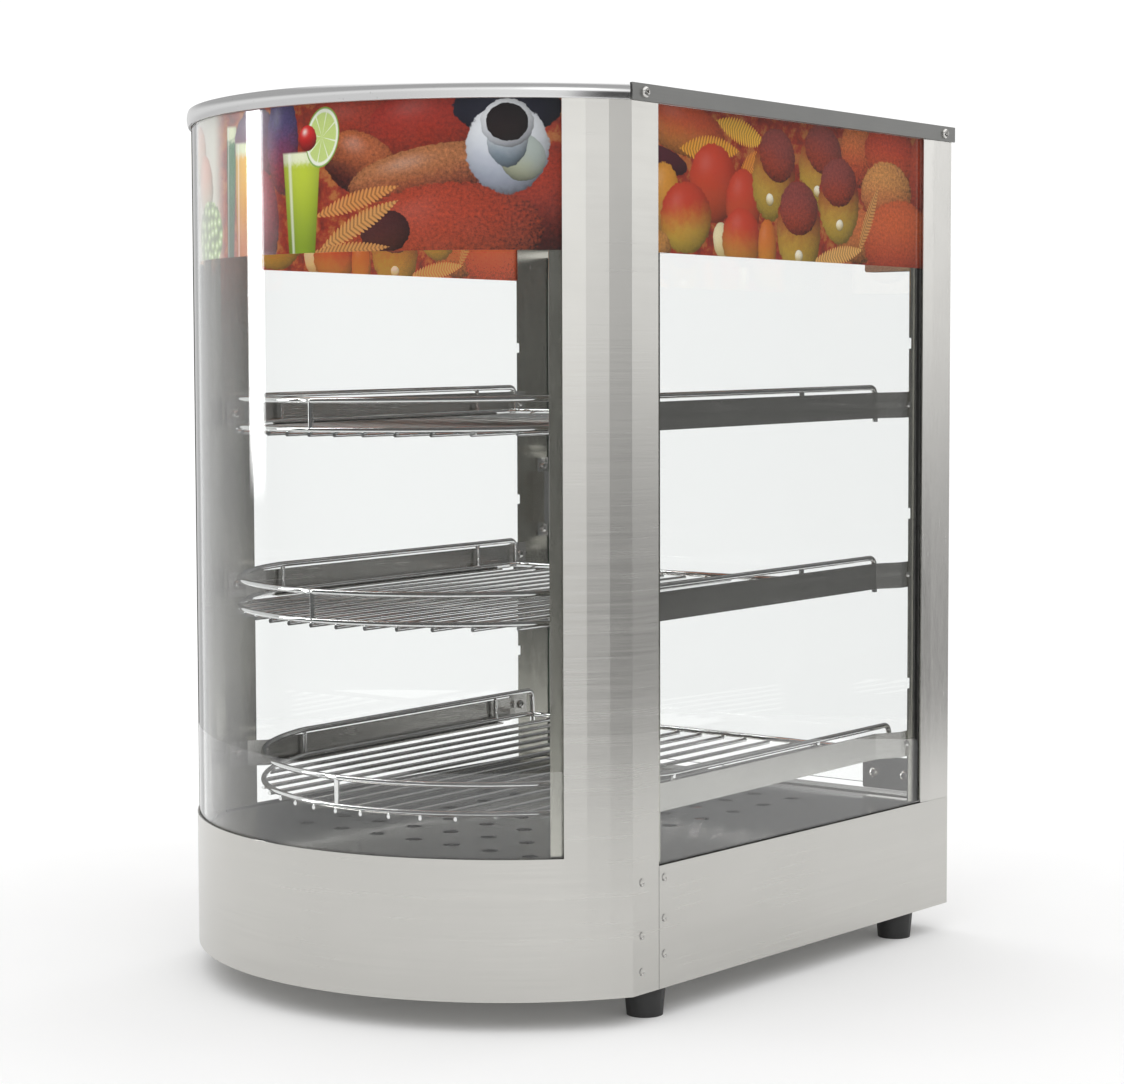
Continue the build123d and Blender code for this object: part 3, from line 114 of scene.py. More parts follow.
class Graph:
    """Adds and joins nodes in one node tree."""

    def __init__(self, tree: bpy.types.NodeTree) -> None:
        """Keep the tree that the nodes go in."""
        self.tree = tree

    def node(self, kind: str, **settings: object) -> bpy.types.Node:
        """Add a node and set its own properties.

        Args:
            kind: the node's type name.
            settings: its properties and their values.

        Returns:
            The node.
        """
        made = self.tree.nodes.new(kind)
        for key, value in settings.items():
            setattr(made, key, value)
        return made

    def feed(self, socket: Socket, value: object) -> None:
        """Link a socket to another one, or set its own value.

        Args:
            socket: the input to fill.
            value: an output socket, a number, a vector or a colour.
        """
        if isinstance(value, Socket):
            self.tree.links.new(value, socket)
        elif hasattr(value, "__len__") and len(socket.default_value) == 4 and len(value) == 3:
            socket.default_value = (*value, 1.0)
        else:
            socket.default_value = value

    def filled(self, made: bpy.types.Node, *values: object) -> bpy.types.Node:
        """Feed a node's inputs in their order and give it back."""
        for socket, value in zip(made.inputs, values):
            self.feed(socket, value)
        return made

    def math(self, operation: str, *values: object) -> Socket:
        """One Math node on up to three numbers or sockets."""
        return self.filled(self.node("ShaderNodeMath", operation=operation), *values).outputs[0]

    def vector(self, operation: str, *values: object) -> Socket:
        """One Vector Math node; gives its Value output where the operation has one."""
        made = self.filled(self.node("ShaderNodeVectorMath", operation=operation), *values)
        return made.outputs[1] if operation in ("DOT_PRODUCT", "LENGTH", "DISTANCE") else made.outputs[0]

    def split(self, vector: object) -> tuple[Socket, ...]:
        """The three numbers of a vector."""
        return tuple(self.filled(self.node("ShaderNodeSeparateXYZ"), vector).outputs)

    def join(self, x: object = 0.0, y: object = 0.0, z: object = 0.0) -> Socket:
        """A vector from three numbers."""
        return self.filled(self.node("ShaderNodeCombineXYZ"), x, y, z).outputs[0]

    def grey(self, value: object) -> Socket:
        """One number as all three parts of a vector or a colour."""
        return self.join(value, value, value)

    def mix(self, factor: object, low: object, high: object, blend: str = "MIX") -> Socket:
        """A colour between two colours.

        Args:
            factor: 0 for the low colour, 1 for the high one.
            low: the colour underneath.
            high: the colour on top.
            blend: how the two are put together.

        Returns:
            The colour.
        """
        made = self.node("ShaderNodeMix", data_type="RGBA", blend_type=blend)
        for socket, value in zip((made.inputs[0], made.inputs[6], made.inputs[7]), (factor, low, high)):
            self.feed(socket, value)
        return made.outputs[2]

    def shade(self, colour: object, amount: object) -> Socket:
        """A colour made darker or lighter by a number or by another colour."""
        return self.mix(1.0, colour, amount, "MULTIPLY")

    def span(
        self, value: object, low: float, high: float, to_low: float = 0.0, to_high: float = 1.0
    ) -> Socket:
        """A number carried smoothly from one range to another, held at both ends."""
        made = self.node("ShaderNodeMapRange", interpolation_type="SMOOTHSTEP")
        return self.filled(made, value, low, high, to_low, to_high).outputs[0]

    def noise(self, place: object, scale: float, detail: float = 3.0, rough: float = 0.55) -> Socket:
        """The value of a noise texture.

        Args:
            place: where it is read.
            scale: how fine it is.
            detail: how many finer layers it has.
            rough: how strong the finer layers are.

        Returns:
            Its value, from 0 to 1.
        """
        made = self.node("ShaderNodeTexNoise")
        for key, value in (("Vector", place), ("Scale", scale), ("Detail", detail), ("Roughness", rough)):
            self.feed(made.inputs[key], value)
        return made.outputs["Fac"]

    def ramp(self, value: object, stops: tuple[tuple[float, Colour], ...]) -> Socket:
        """A colour read along stops.

        Args:
            value: where to read, from 0 to 1.
            stops: places on the line and their colours.

        Returns:
            The colour.
        """
        made = self.node("ShaderNodeValToRGB")
        line = made.color_ramp.elements
        while len(line) < len(stops):
            line.new(0.5)
        for element, (place, colour) in zip(line, stops):
            element.position = place
            element.color = (*colour, 1.0)
        self.feed(made.inputs[0], value)
        return made.outputs[0]

    def place(self) -> Socket:
        """Object coordinates, in metres."""
        return self.node("ShaderNodeTexCoord").outputs["Object"]

    def group(self, tree: bpy.types.NodeTree, **values: object) -> bpy.types.Node:
        """Place a shader group.

        Args:
            tree: the group.
            values: its inputs by name.

        Returns:
            The group's node.
        """
        made = self.node("ShaderNodeGroup", node_tree=tree)
        for key, value in values.items():
            self.feed(made.inputs[key], value)
        return made


GroupParts = tuple[bpy.types.NodeTree, Graph, bpy.types.NodeOutputs, bpy.types.NodeInputs]


def shader_group(name: str, inputs: dict[str, str], outputs: dict[str, str]) -> GroupParts:
    """Make an empty shader group with named sockets.

    Args:
        name: the group's name.
        inputs: socket name to socket kind: Float, Vector or Color.
        outputs: the same for what it puts out.

    Returns:
        The group, a Graph on it, its input node's outputs and its output node's inputs.
    """
    tree = bpy.data.node_groups.new(name, "ShaderNodeTree")
    for side, sockets in (("INPUT", inputs), ("OUTPUT", outputs)):
        for label, kind in sockets.items():
            tree.interface.new_socket(label, in_out=side, socket_type=f"NodeSocket{kind}")
    graph = Graph(tree)
    return tree, graph, graph.node("NodeGroupInput").outputs, graph.node("NodeGroupOutput").inputs


class Effects:
    """Shader groups that several finishes share, each built once."""

    def __init__(self) -> None:
        """Build every group."""
        self.brushing = self._brushing()
        self.handling = self._handling()
        self.dimple = self._dimple()
        self.blob = self._blob()
        self.tumbler = self._tumbler()
        self.ear = self._ear()
        self.cluster = self._cluster()
        self.slice = self._slice()

    @staticmethod
    def _brushing() -> bpy.types.NodeTree:
        """Belt lines: a streak value and a height, from stretched noise.

        Returns:
            The group.
        """
        tree, g, given, out = shader_group(
            "belt_brushing", {"Place": "Vector", "Scales": "Vector"}, {"Streak": "Float", "Height": "Float"}
        )
        stretched = g.vector("MULTIPLY", given["Place"], given["Scales"])
        fine = g.noise(stretched, 1.0, 2.0, 0.7)
        broad = g.noise(g.vector("MULTIPLY", stretched, (0.22, 0.22, 0.22)), 1.0, 2.0, 0.6)
        g.feed(out["Streak"], g.math("MULTIPLY_ADD", broad, 0.45, g.math("MULTIPLY", fine, 0.55)))
        g.feed(out["Height"], fine)
        return tree

    @staticmethod
    def _handling() -> bpy.types.NodeTree:
        """Soft cloudy marks left by hands and cloths, with a few denser spots.

        Returns:
            The group.
        """
        tree, g, given, out = shader_group(
            "handling_marks", {"Place": "Vector"}, {"Cloud": "Float", "Spots": "Float"}
        )
        cloud = g.noise(given["Place"], 9.0, 4.0, 0.6)
        g.feed(out["Cloud"], g.span(cloud, 0.35, 0.7))
        speckle = g.noise(given["Place"], 420.0, 2.0, 0.5)
        g.feed(out["Spots"], g.span(speckle, 0.68, 0.78))
        return tree

    @staticmethod
    def _dimple() -> bpy.types.NodeTree:
        """A shallow round dent of a spot weld, seen from the side: a height that falls at its middle.

        Returns:
            The group.
        """
        tree, g, given, out = shader_group(
            "weld_dimple", {"Place": "Vector", "Centre": "Vector", "Radius": "Float"}, {"Height": "Float"}
        )
        flat = g.vector("MULTIPLY", g.vector("SUBTRACT", given["Place"], given["Centre"]), (0.0, 1.0, 1.0))
        off = g.math("DIVIDE", g.vector("LENGTH", flat), given["Radius"])
        g.feed(out["Height"], g.span(off, 0.35, 1.0))
        return tree

    @staticmethod
    def _local(g: Graph, given: object, ragged: float) -> Socket:
        """Place within a drawn shape: -1 to 1 across its size, turned with it.

        Args:
            g: the group's graph.
            given: the group's inputs.
            ragged: how uneven the outline is.

        Returns:
            The place.
        """
        shift = g.vector("SUBTRACT", given["Place"], given["Centre"])
        turned = g.node("ShaderNodeVectorRotate", rotation_type="Z_AXIS")
        g.feed(turned.inputs["Vector"], shift)
        g.feed(turned.inputs["Angle"], g.math("MULTIPLY", given["Turn"], -1.0))
        sized = g.vector("DIVIDE", turned.outputs[0], given["Size"])
        if not ragged:
            return sized
        wobble = g.math("MULTIPLY_ADD", g.noise(given["Place"], 0.22, 4.0, 0.6), ragged, 1.0 - ragged / 2)
        return g.vector("MULTIPLY", sized, g.join(wobble, wobble, 0.0))

    SHAPE = {"Place": "Vector", "Centre": "Vector", "Size": "Vector", "Turn": "Float"}
    DRAWN = {"Colour": "Color", "Mask": "Float"}

    def _blob(self) -> bpy.types.NodeTree:
        """A rounded thing lit from the upper left: a loaf, a bun, a fruit or a plate.

        Returns:
            The group.
        """
        extra = {"Top": "Color", "Low": "Color", "Shine": "Float", "Crust": "Float"}
        tree, g, given, out = shader_group("painted_round", {**self.SHAPE, **extra}, self.DRAWN)
        local = self._local(g, given, 0.22)
        reach = g.vector("DOT_PRODUCT", local, local)
        rise = g.math("SQRT", g.math("MAXIMUM", g.math("SUBTRACT", 1.0, reach), 0.0))
        across, up, _ = g.split(local)
        light = g.vector("DOT_PRODUCT", g.join(across, up, rise), (-0.33, 0.5, 0.8))
        height = g.math("MULTIPLY_ADD", g.noise(given["Place"], 0.16), 0.5, up)
        body = g.mix(g.span(height, -0.55, 0.75), given["Low"], given["Top"])
        crumb = g.noise(given["Place"], 0.42, 6.0, 0.8)
        rough = g.math("MULTIPLY", g.math("SUBTRACT", crumb, 0.5), g.math("MULTIPLY", given["Crust"], 3.2))
        shade = g.math("ADD", g.math("MULTIPLY_ADD", light, 0.62, 0.42), rough)
        lit = g.shade(body, g.grey(shade))
        glint = g.math("MULTIPLY", g.math("POWER", g.math("MAXIMUM", light, 0.0), 26.0), given["Shine"])
        g.feed(out["Colour"], g.mix(glint, lit, (1.0, 0.97, 0.9)))
        g.feed(out["Mask"], g.span(reach, 1.0, 0.93))
        return tree

    def _tumbler(self) -> bpy.types.NodeTree:
        """A tapered glass of a drink with froth at the rim.

        Returns:
            The group.
        """
        extra = {"Top": "Color", "Low": "Color"}
        tree, g, given, out = shader_group("painted_tumbler", {**self.SHAPE, **extra}, self.DRAWN)
        across, up, _ = g.split(self._local(g, given, 0.0))
        wide = g.math("DIVIDE", across, g.math("MULTIPLY_ADD", up, 0.16, 0.84))
        froth = g.span(g.math("MULTIPLY_ADD", g.noise(given["Place"], 0.5), 0.2, up), 0.78, 0.95)
        drink = g.mix(froth, g.mix(g.span(up, -1.0, 0.7), given["Low"], given["Top"]), (0.86, 0.9, 0.62))
        side = g.math("MULTIPLY_ADD", g.math("MULTIPLY", wide, wide), -0.4, 1.05)
        lit = g.shade(drink, g.grey(side))
        glint = g.math("MULTIPLY", g.span(g.math("ABSOLUTE", g.math("ADD", wide, 0.62)), 0.14, 0.02), 0.5)
        g.feed(out["Colour"], g.mix(glint, lit, (1.0, 1.0, 0.95)))
        inside = g.math("MAXIMUM", g.math("ABSOLUTE", wide), g.math("ABSOLUTE", up))
        g.feed(out["Mask"], g.span(inside, 1.0, 0.94))
        return tree

    def _ear(self) -> bpy.types.NodeTree:
        """A wheat ear: kernels in a plait that narrows towards its tip.

        Returns:
            The group.
        """
        tree, g, given, out = shader_group("painted_ear", {**self.SHAPE, "Tone": "Color"}, self.DRAWN)
        along, across, _ = g.split(self._local(g, given, 0.0))
        side = g.math("ABSOLUTE", across)
        beat = g.math("SINE", g.math("MULTIPLY_ADD", along, 34.0, g.math("MULTIPLY", side, -4.0)))
        swell = g.math("MULTIPLY_ADD", g.math("ABSOLUTE", beat), 0.4, 0.6)
        width = g.math("MULTIPLY", g.math("SUBTRACT", 1.0, g.math("MULTIPLY", along, along)), swell)
        g.feed(out["Mask"], g.span(g.math("SUBTRACT", width, side), 0.0, 0.08))
        shade = g.math("MULTIPLY_ADD", g.math("ABSOLUTE", beat), 0.75, 0.4)
        g.feed(out["Colour"], g.shade(given["Tone"], g.grey(shade)))
        return tree

    def _cluster(self) -> bpy.types.NodeTree:
        """A bunch of small round fruit.

        Returns:
            The group.
        """
        extra = {"Tone": "Color", "Berry": "Float"}
        tree, g, given, out = shader_group("painted_cluster", {**self.SHAPE, **extra}, self.DRAWN)
        local = self._local(g, given, 0.3)
        cells = g.node("ShaderNodeTexVoronoi", voronoi_dimensions="2D")
        g.feed(cells.inputs["Vector"], given["Place"])
        g.feed(cells.inputs["Scale"], g.math("DIVIDE", 1.0, given["Berry"]))
        g.feed(cells.inputs["Randomness"], 0.55)
        far = cells.outputs["Distance"]
        shade = g.span(far, 0.62, 0.05, 0.35, 1.15)
        berry = g.shade(given["Tone"], g.grey(shade))
        g.feed(out["Colour"], g.mix(g.span(far, 0.16, 0.04), berry, (0.95, 0.98, 0.85)))
        g.feed(out["Mask"], g.span(g.vector("DOT_PRODUCT", local, local), 1.0, 0.9))
        return tree

    def _slice(self) -> bpy.types.NodeTree:
        """A citrus slice: rind, pith and segments.

        Returns:
            The group.
        """
        tree, g, given, out = shader_group("painted_slice", {**self.SHAPE, "Tone": "Color"}, self.DRAWN)
        local = self._local(g, given, 0.0)
        across, up, _ = g.split(local)
        reach = g.vector("LENGTH", local)
        spokes = g.math("ABSOLUTE", g.math("SINE", g.math("MULTIPLY", g.math("ARCTAN2", up, across), 4.0)))
        flesh = g.mix(g.span(spokes, 0.03, 0.22), (0.9, 0.95, 0.75), given["Tone"])
        pith = g.mix(g.span(reach, 0.78, 0.84), flesh, (0.9, 0.93, 0.78))
        g.feed(out["Colour"], g.mix(g.span(reach, 0.9, 0.95), pith, (0.24, 0.42, 0.05)))
        g.feed(out["Mask"], g.span(reach, 1.0, 0.97))
        return tree


EFFECTS: list[Effects] = []


def effects() -> Effects:
    """The shared shader groups, built on first use."""
    if not EFFECTS:
        EFFECTS.append(Effects())
    return EFFECTS[0]


# ---- finishes -----------------------------------------------------------------------------


def new_material(name: str) -> tuple[bpy.types.Material, Graph, bpy.types.Node, bpy.types.Node]:
    """Make a material with a bare Principled shader.

    Args:
        name: the material's name.

    Returns:
        The material, its graph, its shader and its output node.
    """
    material = bpy.data.materials.new(name)
    material.use_nodes = True
    material.node_tree.nodes.clear()
    graph = Graph(material.node_tree)
    shader = graph.node("ShaderNodeBsdfPrincipled")
    output = graph.node("ShaderNodeOutputMaterial")
    graph.feed(output.inputs["Surface"], shader.outputs[0])
    return material, graph, shader, output


def bump(g: Graph, height: object, strength: float, distance: float, under: object = None) -> Socket:
    """A normal from a height.

    Args:
        g: the material's graph.
        height: the height, from 0 to 1.
        strength: how much of it shows.
        distance: what a height of 1 stands for, in metres.
        under: another normal that it lies on.

    Returns:
        The normal.
    """
    made = g.node("ShaderNodeBump")
    for key, value in (("Strength", strength), ("Distance", distance), ("Height", height)):
        g.feed(made.inputs[key], value)
    if under is not None:
        g.feed(made.inputs["Normal"], under)
    return made.outputs[0]


@dataclass(frozen=True)
class BrushedSteel:
    """Stainless sheet with belt lines, as its supplier finished it."""

    name: str
    grain: Grain
    colour: Colour = (0.63, 0.62, 0.595)
    roughness: float = 0.27
    line_depth: float = 0.10
    marks: float = 0.05
    spots: Stops = ()
    spot_radius: float = 3.2 * MM

    def build(self) -> bpy.types.Material:
        """Make the material.

        Returns:
            The material.
        """
        material, g, shader, _ = new_material(self.name)
        place = g.place()
        lines = g.group(effects().brushing, Place=place, Scales=self.grain.value)
        hands = g.group(effects().handling, Place=place)
        tone = g.math("MULTIPLY_ADD", g.math("SUBTRACT", lines.outputs["Streak"], 0.5), 0.30, 1.0)
        tinted = g.shade(self.colour, g.grey(tone))
        dulled = tuple(part * 0.97 for part in self.colour)
        cloud = g.math("MULTIPLY", hands.outputs["Cloud"], 0.5)
        g.feed(shader.inputs["Base Color"], g.mix(cloud, tinted, dulled))
        rough = g.math("MULTIPLY_ADD", lines.outputs["Streak"], 0.16, self.roughness - 0.08)
        rough = g.math("MULTIPLY_ADD", hands.outputs["Cloud"], self.marks, rough)
        g.feed(shader.inputs["Roughness"], rough)
        shader.inputs["Metallic"].default_value = 1.0
        normal = bump(g, lines.outputs["Height"], self.line_depth, 0.0002)
        for spot_y, spot_z in self.spots:
            centre = (0.0, spot_y, spot_z)
            dimple = g.group(effects().dimple, Place=place, Centre=centre, Radius=self.spot_radius)
            normal = bump(g, dimple.outputs["Height"], 0.9, 0.0012, normal)
        g.feed(shader.inputs["Normal"], normal)
        return material


@dataclass(frozen=True)
class PolishedSteel:
    """Mirror-polished or plated metal with faint handling marks."""

    name: str
    colour: Colour = (0.72, 0.72, 0.715)
    roughness: float = 0.06
    dents: float = 0.0
    spot: Colour = (0.35, 0.34, 0.33)

    def build(self) -> bpy.types.Material:
        """Make the material.

        Returns:
            The material.
        """
        material, g, shader, _ = new_material(self.name)
        place = g.place()
        hands = g.group(effects().handling, Place=place)
        spots = g.math("MULTIPLY", hands.outputs["Spots"], 0.3)
        g.feed(shader.inputs["Base Color"], g.mix(spots, self.colour, self.spot))
        rough = g.math("MULTIPLY_ADD", hands.outputs["Cloud"], 0.06, self.roughness)
        g.feed(shader.inputs["Roughness"], rough)
        shader.inputs["Metallic"].default_value = 1.0
        if self.dents:
            waves = g.noise(place, 22.0, 2.0, 0.5)
            g.feed(shader.inputs["Normal"], bump(g, waves, self.dents, 0.002))
        return material


@dataclass(frozen=True)
class ClearGlass:
    """Plate glass: clear across its faces, greener where an edge is looked into; a curved pane also gets
    painted shade, near-black, where it is seen nearly edge-on.
    """

    name: str
    pane: Pane
    tint: Colour = (0.985, 0.995, 0.99)
    edge: Colour = (0.16, 0.42, 0.30)
    # painted shade: the near-black that the curved pane turns where it is seen nearly edge-on
    rim: Colour = (0.004, 0.005, 0.005)

    def build(self) -> bpy.types.Material:
        """Make the material; lamps shine through it.

        Returns:
            The material.
        """
        material, g, shader, output = new_material(self.name)
        shader.inputs["Roughness"].default_value = 0.0
        shader.inputs["IOR"].default_value = 1.5
        shader.inputs["Transmission Weight"].default_value = 1.0
        facing = g.vector("ABSOLUTE", g.node("ShaderNodeTexCoord").outputs["Normal"])
        clear = g.node("ShaderNodeBsdfTransparent")
        path = g.node("ShaderNodeLightPath")
        seen = shader.outputs[0]
        for kind in ("Is Diffuse Ray", "Is Shadow Ray"):
            both = g.node("ShaderNodeMixShader")
            seen = g.filled(both, path.outputs[kind], seen, clear.outputs[0]).outputs[0]
        g.feed(output.inputs["Surface"], seen)
        edge = g.span(self._edge(g, facing), 0.5, 0.6)
        colour = g.mix(edge, self.tint, self.edge)
        # On the curved pane, painted shade: the colour goes near-black where the face is seen nearly
        # edge-on, for the dark line along its silhouette.
        if self.pane is Pane.CURVED:
            grazing = g.node("ShaderNodeLayerWeight").outputs["Facing"]
            colour = g.mix(g.span(grazing, 0.80, 0.85), colour, self.rim)
        g.feed(shader.inputs["Base Color"], colour)
        return material

    def _edge(self, g: Graph, facing: object) -> Socket:
        """How much a face belongs to the cut edge of the plate.

        Args:
            g: the material's graph.
            facing: the size of each part of the face's normal.

        Returns:
            0 on the plate's faces, 1 on its edges.
        """
        across, along, up = g.split(facing)
        return {
            Pane.SIDE: g.math("SUBTRACT", 1.0, across),
            Pane.DOOR: g.math("SUBTRACT", 1.0, along),
            Pane.CURVED: up,
        }[self.pane]


@dataclass(frozen=True)
class Moulded:
    """Moulded rubber or plastic with a fine grain."""

    name: str
    colour: Colour
    roughness: float = 0.5
    grain_scale: float = 1600.0
    grain_depth: float = 0.25
    glow: float = 0.0

    def build(self) -> bpy.types.Material:
        """Make the material.

        Returns:
            The material.
        """
        material, g, shader, _ = new_material(self.name)
        place = g.place()
        fine = g.noise(place, self.grain_scale, 3.0, 0.6)
        cloud = g.noise(place, 30.0, 3.0, 0.5)
        worn = tuple(min(1.0, c * 1.6 + 0.01) for c in self.colour)
        g.feed(shader.inputs["Base Color"], g.mix(g.span(cloud, 0.45, 0.75, 0.0, 0.5), self.colour, worn))
        rough = g.span(fine, 0.2, 0.8, self.roughness - 0.08, self.roughness + 0.1)
        g.feed(shader.inputs["Roughness"], rough)
        g.feed(shader.inputs["Normal"], bump(g, fine, self.grain_depth, 0.0001))
        if self.glow:
            g.feed(shader.inputs["Emission Color"], g.mix(0.5, self.colour, (1.0, 1.0, 1.0)))
            shader.inputs["Emission Strength"].default_value = self.glow
        return material


# ---- the printed artwork --------------------------------------------------------------------


@dataclass(frozen=True)
class Drawn:
    """One painted thing: its group, centre and half size in millimetres, turn and colours."""

    kind: str
    centre: tuple[float, float]
    size: tuple[float, float]
    turn: float = 0.0
    colours: tuple[Colour, ...] = ()
    numbers: tuple[float, ...] = ()


CRUST_RED: Colour = (0.34, 0.026, 0.006)
CRUST_DARK: Colour = (0.10, 0.010, 0.006)
CRUST_GOLD: Colour = (0.46, 0.15, 0.028)
GLAZE_YELLOW: Colour = (0.72, 0.46, 0.04)
GLAZE_BROWN: Colour = (0.10, 0.012, 0.008)
WHEAT: Colour = (0.60, 0.27, 0.07)
CHINA: Colour = (0.72, 0.75, 0.80)
CHINA_SHADE: Colour = (0.42, 0.46, 0.56)
NIGHT: Colour = (0.012, 0.012, 0.03)


PAINTS: dict[str, tuple[str, ...]] = {
    "blob": ("Top", "Low", "Shine", "Crust"),
    "tumbler": ("Top", "Low"),
    "ear": ("Tone",),
    "cluster": ("Tone", "Berry"),
    "slice": ("Tone",),
}


def loaf(
    x: float, y: float, w: float, h: float, turn: float = 0.0, crust: float = 0.8,
    top: Colour = CRUST_RED, low: Colour = CRUST_GOLD, shine: float = 0.12,
) -> Drawn:
    """A rounded loaf, roll or fruit."""
    return Drawn("blob", (x, y), (w, h), turn, (top, low), (shine, crust))


FRONT_ART: tuple[Drawn, ...] = (
    loaf(-172, 70, 30, 24, 0, 0.1, (0.75, 0.62, 0.42), (0.80, 0.70, 0.52)),
    loaf(-128, 72, 22, 21, 0, 0.1, (0.78, 0.42, 0.26), (0.85, 0.68, 0.42)),
    loaf(-150, 32, 26, 22, 20, 0.1, (0.72, 0.28, 0.20), (0.80, 0.62, 0.42)),
    loaf(-108, 50, 15, 22, 10, 0.1, (0.76, 0.36, 0.24), (0.80, 0.66, 0.46)),
    Drawn("cluster", (-100, 16), (24, 24), 8, ((0.52, 0.68, 0.30),), (7.5,)),
    Drawn("tumbler", (-63, 42), (7, 46), -2, ((0.02, 0.16, 0.05), (0.01, 0.05, 0.02))),
    loaf(-32, 72, 26, 26, 0, 0.5, (0.10, 0.03, 0.10), (0.30, 0.03, 0.06)),
    loaf(-4, 72, 15, 34, 0, 0.6, (0.08, 0.06, 0.18), (0.35, 0.02, 0.04)),
    loaf(-24, 20, 16, 36, 0, 0.5, (0.30, 0.02, 0.04), (0.20, 0.02, 0.03)),
    Drawn("tumbler", (-47, 36), (11, 40), -2, ((0.86, 0.46, 0.02), (0.50, 0.12, 0.01))),
    loaf(60, 76, 46, 24, -6, 0.9, CRUST_RED, CRUST_DARK, 0.03),
    loaf(112, 80, 46, 24, 4, 0.7, (0.36, 0.018, 0.006), CRUST_RED, 0.05),
    loaf(60, 56, 30, 20, -24, 1.0, (0.42, 0.10, 0.025), CRUST_DARK),
    loaf(190, 30, 40, 34, 0, 0.9, CRUST_RED, CRUST_DARK, 0.0),
    loaf(112, 50, 62, 17, 9, 1.0, (0.42, 0.145, 0.045), (0.30, 0.05, 0.015)),
    loaf(118, 10, 66, 33, 4, 1.0, (0.40, 0.040, 0.010), (0.36, 0.055, 0.014), 0.03),
    loaf(78, 12, 18, 14, 10, 0.4, (0.07, 0.012, 0.012), (0.10, 0.02, 0.01), 0.0),
    Drawn("ear", (56, 32), (34, 6.5), 16, ((0.62, 0.24, 0.055),)),
    Drawn("ear", (58, 17), (34, 7.0), 27, (WHEAT,)),
    Drawn("ear", (50, 1), (32, 5.5), 3, ((0.56, 0.24, 0.06),)),
    Drawn("tumbler", (13, 32), (17, 34), 0, ((0.52, 0.62, 0.03), (0.22, 0.32, 0.01))),
    Drawn("slice", (31, 74), (13.5, 20), -14, ((0.58, 0.72, 0.22),)),
    loaf(19, 74, 7.5, 8.5, 0, 0.0, (0.72, 0.012, 0.01), (0.42, 0.0, 0.0), 0.7),
    loaf(160, 90, 36, 18, 0, 0.0, NIGHT, NIGHT, 0.0),
    loaf(160, 64, 27.5, 29, -6, 0.0, (0.80, 0.82, 0.86), (0.50, 0.54, 0.66), 0.0),
    loaf(170, 58, 15, 15, -30, 0.0, (0.40, 0.45, 0.42), (0.50, 0.52, 0.36), 0.0),
    loaf(160, 70, 13.5, 18, 0, 0.0, (0.74, 0.76, 0.80), (0.26, 0.33, 0.40), 0.1),
    loaf(160, 80, 17.5, 15.5, 0, 0.0, (0.78, 0.79, 0.82), (0.70, 0.72, 0.78), 0.1),
    loaf(160, 80.5, 14.0, 12.2, 0, 0.0, (0.010, 0.004, 0.006), (0.02, 0.008, 0.008), 0.0),
)

ROLL_RED: Colour = (0.60, 0.040, 0.007)
ROLL_AMBER: Colour = (0.74, 0.30, 0.02)
PLUM: Colour = (0.085, 0.010, 0.020)
FROSTING: Colour = (0.26, 0.045, 0.035)


def glazed_bun(x: float, y: float, w: float, h: float, turn: float = 0.0) -> tuple[Drawn, ...]:
    """A long bun: red shoulders, yellow foot, a frosted cap and a glint of the lamp.

    Args:
        x: its middle along the band.
        y: its middle above the band's lower edge.
        w: half its width.
        h: half its height.
        turn: how far it leans, in degrees.

    Returns:
        What is drawn, from back to front.
    """
    lean = math.radians(turn)
    cap = (x - 0.42 * h * math.sin(lean), y + 0.42 * h * math.cos(lean))
    glint = (x + 0.55 * h * math.sin(lean), y - 0.55 * h * math.cos(lean))
    return (
        loaf(x, y, w, h, turn, 0.15, (0.34, 0.018, 0.008), GLAZE_YELLOW, 0.1),
        loaf(*cap, 0.86 * w, 0.56 * h, turn, 0.7, FROSTING, (0.42, 0.045, 0.010), 0.0),
        loaf(*glint, 0.18 * w, 0.13 * h, turn, 0.0, (0.95, 0.88, 0.70), (0.90, 0.70, 0.30), 0.0),
    )


